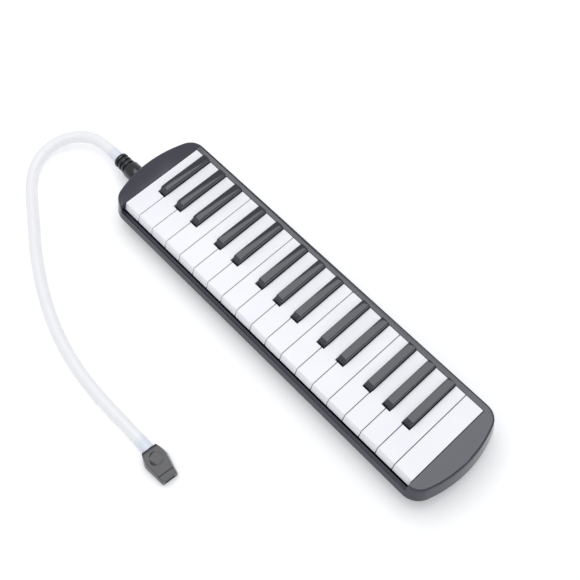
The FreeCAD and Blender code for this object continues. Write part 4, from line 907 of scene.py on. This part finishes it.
class MELODICA_OT_black_keys(bpy.types.Operator):
    """Shape one black key's cap with its crown, taper and slope, and set it on every black key's lever"""

    bl_idname = "melodica.black_keys"
    bl_label = "Black keys"

    def execute(self, context):
        cap = self.make_cap(context.scene.melodica_black_keys)
        for name in BLACK_KEYS:
            low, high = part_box(name)
            lever = self.lever_below(name, self.skirt_foot)
            copy = cap.copy()
            copy.data = cap.data.copy()
            context.collection.objects.link(copy)
            copy.data.transform(Matrix.Translation(((low.x + high.x) / 2, 0, 0)))
            clear_selection()
            lever.select_set(True)
            copy.select_set(True)
            context.view_layer.objects.active = copy
            bpy.ops.object.join()
            copy.name = f"{name}_shaped"
            copy.data.name = copy.name
            paint(copy, MATERIALS["black_keys"])
            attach(copy, name)
            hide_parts(name)
        bpy.data.objects.remove(cap)
        return {"FINISHED"}

    def make_cap(self, sizes):
        """One cap about X = 0, at the keys' real place along Y and Z."""
        low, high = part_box(BLACK_KEYS[0])
        deck = high.z - 5.5 * MM
        self.skirt_foot = deck - 7.0 * MM
        front = low.y
        rear = high.y
        width = high.x - low.x
        clear_selection()
        bpy.ops.mesh.primitive_cube_add(
            size=1,
            location=(0, (front + rear) / 2, (self.skirt_foot + high.z) / 2),
            scale=(width, rear - front, high.z - self.skirt_foot),
        )
        cap = start_piece("black_key_cap")
        step = front + 1.2 * MM
        ridge = front + 3.4 * MM
        tail = rear - 3 * MM
        for place in (step, ridge, ridge + 4 * MM, tail):
            slice_at(cap, 1, place)
        slice_at(cap, 2, deck - 2 * MM)
        for share in (-0.42, -0.3, -0.15, 0, 0.15, 0.3, 0.42):
            slice_at(cap, 0, share * width)
        falls = {
            front: -4.7 * MM,
            step: -4.3 * MM,
            ridge: -0.25 * MM,
            tail: -0.5 * MM,
            rear: -0.6 * MM,
        }
        # every row is chosen on the flat top before any of them is moved
        shape = bmesh.from_edit_mesh(cap.data)
        top = [v for v in shape.verts if v.co.z > high.z - TOLERANCE]
        rows = [
            ({v.index for v in top if abs(v.co.y - place) < TOLERANCE}, fall)
            for place, fall in falls.items()
        ]
        self.move_rows(cap, rows)
        select_where(cap, lambda v: v.co.z > deck - 1.0 * MM)
        grow((sizes.taper, 1, 1), (0, 0, 0))
        # the crown: columns fall with the square of their distance from the middle
        shape = bmesh.from_edit_mesh(cap.data)
        half = width * sizes.taper / 2
        columns = {}
        for v in shape.verts:
            if v.co.z > deck + 2.0 * MM:
                columns.setdefault(round(abs(v.co.x) / half, 2), set()).add(v.index)
        self.move_rows(cap, [(column, -sizes.crown * share**2) for share, column in columns.items()])
        bpy.ops.object.mode_set(mode="OBJECT")
        round_edges(cap, sizes.edge, segments=4, angle=32)
        bpy.ops.object.mode_set(mode="EDIT")
        close_piece(cap, 42)
        flatten_shading(cap)
        return cap

    def move_rows(self, cap, rows):
        """Move each set of corners up or down by its own distance."""
        for corners, distance in rows:
            select_where(cap, lambda v: v.index in corners)
            shift((0, 0, distance))

    def lever_below(self, name, height):
        """The part of a key's lever and pad below its cap, cut off level and closed."""
        lever = copy_of_node(name, "lever")
        bpy.ops.mesh.select_all(action="SELECT")
        bpy.ops.mesh.bisect(
            plane_co=(0, 0, height - 0.02 * MM), plane_no=(0, 0, 1), clear_outer=True, use_fill=True
        )
        close_piece(lever)
        return lever


# ---------------------------------------------------------------------------------------------
# Case and inner parts
# ---------------------------------------------------------------------------------------------
class MELODICA_OT_upper_case(bpy.types.Operator):
    """Round the edges of the upper shell: its deck's outline, the rear rail and the front rim"""

    bl_idname = "melodica.upper_case"
    bl_label = "Upper case"

    def execute(self, context):
        sizes = context.scene.melodica_case
        shell = copy_of_node("upper_case", "upper_case_rounded")
        keys_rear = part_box(WHITE_KEYS[0])[1].y
        keys_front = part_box(WHITE_KEYS[0])[0].y
        opening_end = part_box(WHITE_KEYS[-1])[1].x
        rim = DECK_HEIGHT - 10 * MM
        room = 2 * TOLERANCE

        def level(edge, height, fall=0.0):
            return all(abs(v.co.z - height) < fall + room for v in edge.verts)

        def sharp(edge):
            return edge.is_manifold and edge.calc_face_angle() > math.radians(20)

        def on_opening(edge):
            ends = [v.co for v in edge.verts]
            rear = all(keys_rear < end.y < keys_rear + MM for end in ends)
            along_y = abs(ends[0].x - ends[1].x) < TOLERANCE
            side = along_y and all(end.y < keys_rear + MM for end in ends)
            return rear or side

        def on_rail_foot(v):
            beside_keys = keys_rear < v.co.y < keys_rear + MM and abs(v.co.x) < opening_end
            return beside_keys and abs(v.co.z - DECK_HEIGHT) < room

        def on_outline(edge):
            return level(edge, DECK_HEIGHT) and sharp(edge) and not on_opening(edge)

        def on_rail(edge):
            return level(edge, DECK_HEIGHT, sizes.rail_drop) and sharp(edge) and on_opening(edge)

        def on_rim(edge):
            before_keys = all(v.co.y < keys_front for v in edge.verts)
            return level(edge, rim) and sharp(edge) and before_keys

        # the rear rail slopes gently down to the keys
        slice_at(shell, 1, keys_rear + sizes.rail_slope)
        for side in (-1, 1):
            slice_at(shell, 0, side * (opening_end - MM))
        select_where(shell, on_rail_foot)
        shift((0, 0, -sizes.rail_drop))

        roundings = (
            (on_outline, sizes.deck_edge),
            (on_rail, sizes.rail_edge),
            (on_rim, sizes.rim_edge),
        )
        for chosen, width in roundings:
            select_where(shell, chosen, "edges")
            bpy.ops.mesh.bevel(offset=width, segments=4, affect="EDGES", clamp_overlap=False)
        close_piece(shell, 30)
        flatten_shading(shell)
        paint(shell, MATERIALS["case"])
        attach(shell, "case")
        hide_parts("upper_case")
        return {"FINISHED"}


class MELODICA_OT_case(bpy.types.Operator):
    """Finish the case, its fasteners and feet, and everything inside it"""

    bl_idname = "melodica.case"
    bl_label = "Case and inner parts"

    def execute(self, context):
        for name, finish in NODE_MATERIALS.items():
            paint(NODES[name], MATERIALS[finish])
        return {"FINISHED"}


# ---------------------------------------------------------------------------------------------
# Stage
# ---------------------------------------------------------------------------------------------
SKY_STRENGTH = 0.63
SOFTBOX_PLACE = (-0.197, 0.032, 1.2)
SOFTBOX_TURN = math.radians(14)
SOFTBOX_SIZE = (1.13, 1.10)


class MELODICA_OT_stage(bpy.types.Operator):
    """Set up the pale floor, the soft light all round and the softbox overhead"""

    bl_idname = "melodica.stage"
    bl_label = "Stage"

    def execute(self, context):
        studio = context.scene.melodica_studio
        clear_selection()
        bpy.ops.mesh.primitive_plane_add(size=12, location=(0, 0, 0))
        floor = context.object
        floor.name = "studio_floor"
        material, tree, shader = new_material("matt_floor_paper")
        shader.inputs["Base Color"].default_value = (*studio.floor_colour, 1.0)
        shader.inputs["Roughness"].default_value = 0.9
        shader.inputs["Specular IOR Level"].default_value = 0.1
        shader.inputs["Emission Color"].default_value = (*studio.floor_colour, 1.0)
        shader.inputs["Emission Strength"].default_value = studio.floor_glow
        paint(floor, material)
        world = bpy.data.worlds.new("studio_sky")
        world.use_nodes = True
        sky = world.node_tree.nodes["Background"]
        sky.inputs["Color"].default_value = linear("#F4F6FA")
        sky.inputs["Strength"].default_value = studio.brightness * SKY_STRENGTH
        context.scene.world = world
        self.softbox("main_softbox", SOFTBOX_PLACE, SOFTBOX_TURN, SOFTBOX_SIZE, studio.softbox)
        context.scene.view_settings.view_transform = "Standard"
        return {"FINISHED"}

    def softbox(self, name, place, turn, size, radiance):
        """A rectangular light that hangs level over the floor, turned about the vertical."""
        clear_selection()
        bpy.ops.object.light_add(type="AREA", location=place, rotation=(0.0, 0.0, turn))
        lamp = bpy.context.object
        lamp.name = name
        lamp.data.shape = "RECTANGLE"
        lamp.data.size = size[0]
        lamp.data.size_y = size[1]
        lamp.data.energy = radiance * math.pi * size[0] * size[1]


# ---------------------------------------------------------------------------------------------
# Panel, registration and the whole build
# ---------------------------------------------------------------------------------------------
OPERATORS = (
    MELODICA_OT_camera,
    MELODICA_OT_connector,
    MELODICA_OT_mouthpiece,
    MELODICA_OT_hose,
    MELODICA_OT_white_keys,
    MELODICA_OT_black_keys,
    MELODICA_OT_upper_case,
    MELODICA_OT_case,
    MELODICA_OT_stage,
)


class MELODICA_PT_panel(bpy.types.Panel):
    """The melodica's steps and sizes in the sidebar"""

    bl_idname = "MELODICA_PT_panel"
    bl_label = "Melodica"
    bl_space_type = "VIEW_3D"
    bl_region_type = "UI"
    bl_category = "Melodica"

    def draw(self, context):
        for operator in OPERATORS:
            self.layout.operator(operator.bl_idname)
        for name, group in PROPERTY_GROUPS.items():
            column = self.layout.column(align=True)
            for field in group.__annotations__:
                column.prop(getattr(context.scene, name), field)


def register():
    for group in PROPERTY_GROUPS.values():
        bpy.utils.register_class(group)
    for name, group in PROPERTY_GROUPS.items():
        setattr(bpy.types.Scene, name, PointerProperty(type=group))
    for operator in OPERATORS:
        bpy.utils.register_class(operator)
    bpy.utils.register_class(MELODICA_PT_panel)


def unregister():
    bpy.utils.unregister_class(MELODICA_PT_panel)
    for operator in reversed(OPERATORS):
        bpy.utils.unregister_class(operator)
    for name in PROPERTY_GROUPS:
        delattr(bpy.types.Scene, name)
    for group in PROPERTY_GROUPS.values():
        bpy.utils.unregister_class(group)


def main():
    """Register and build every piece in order."""
    register()
    for operator in OPERATORS:
        step = operator.bl_idname.split(".")[1]
        getattr(bpy.ops.melodica, step)()


if __name__ == "__main__":
    main()
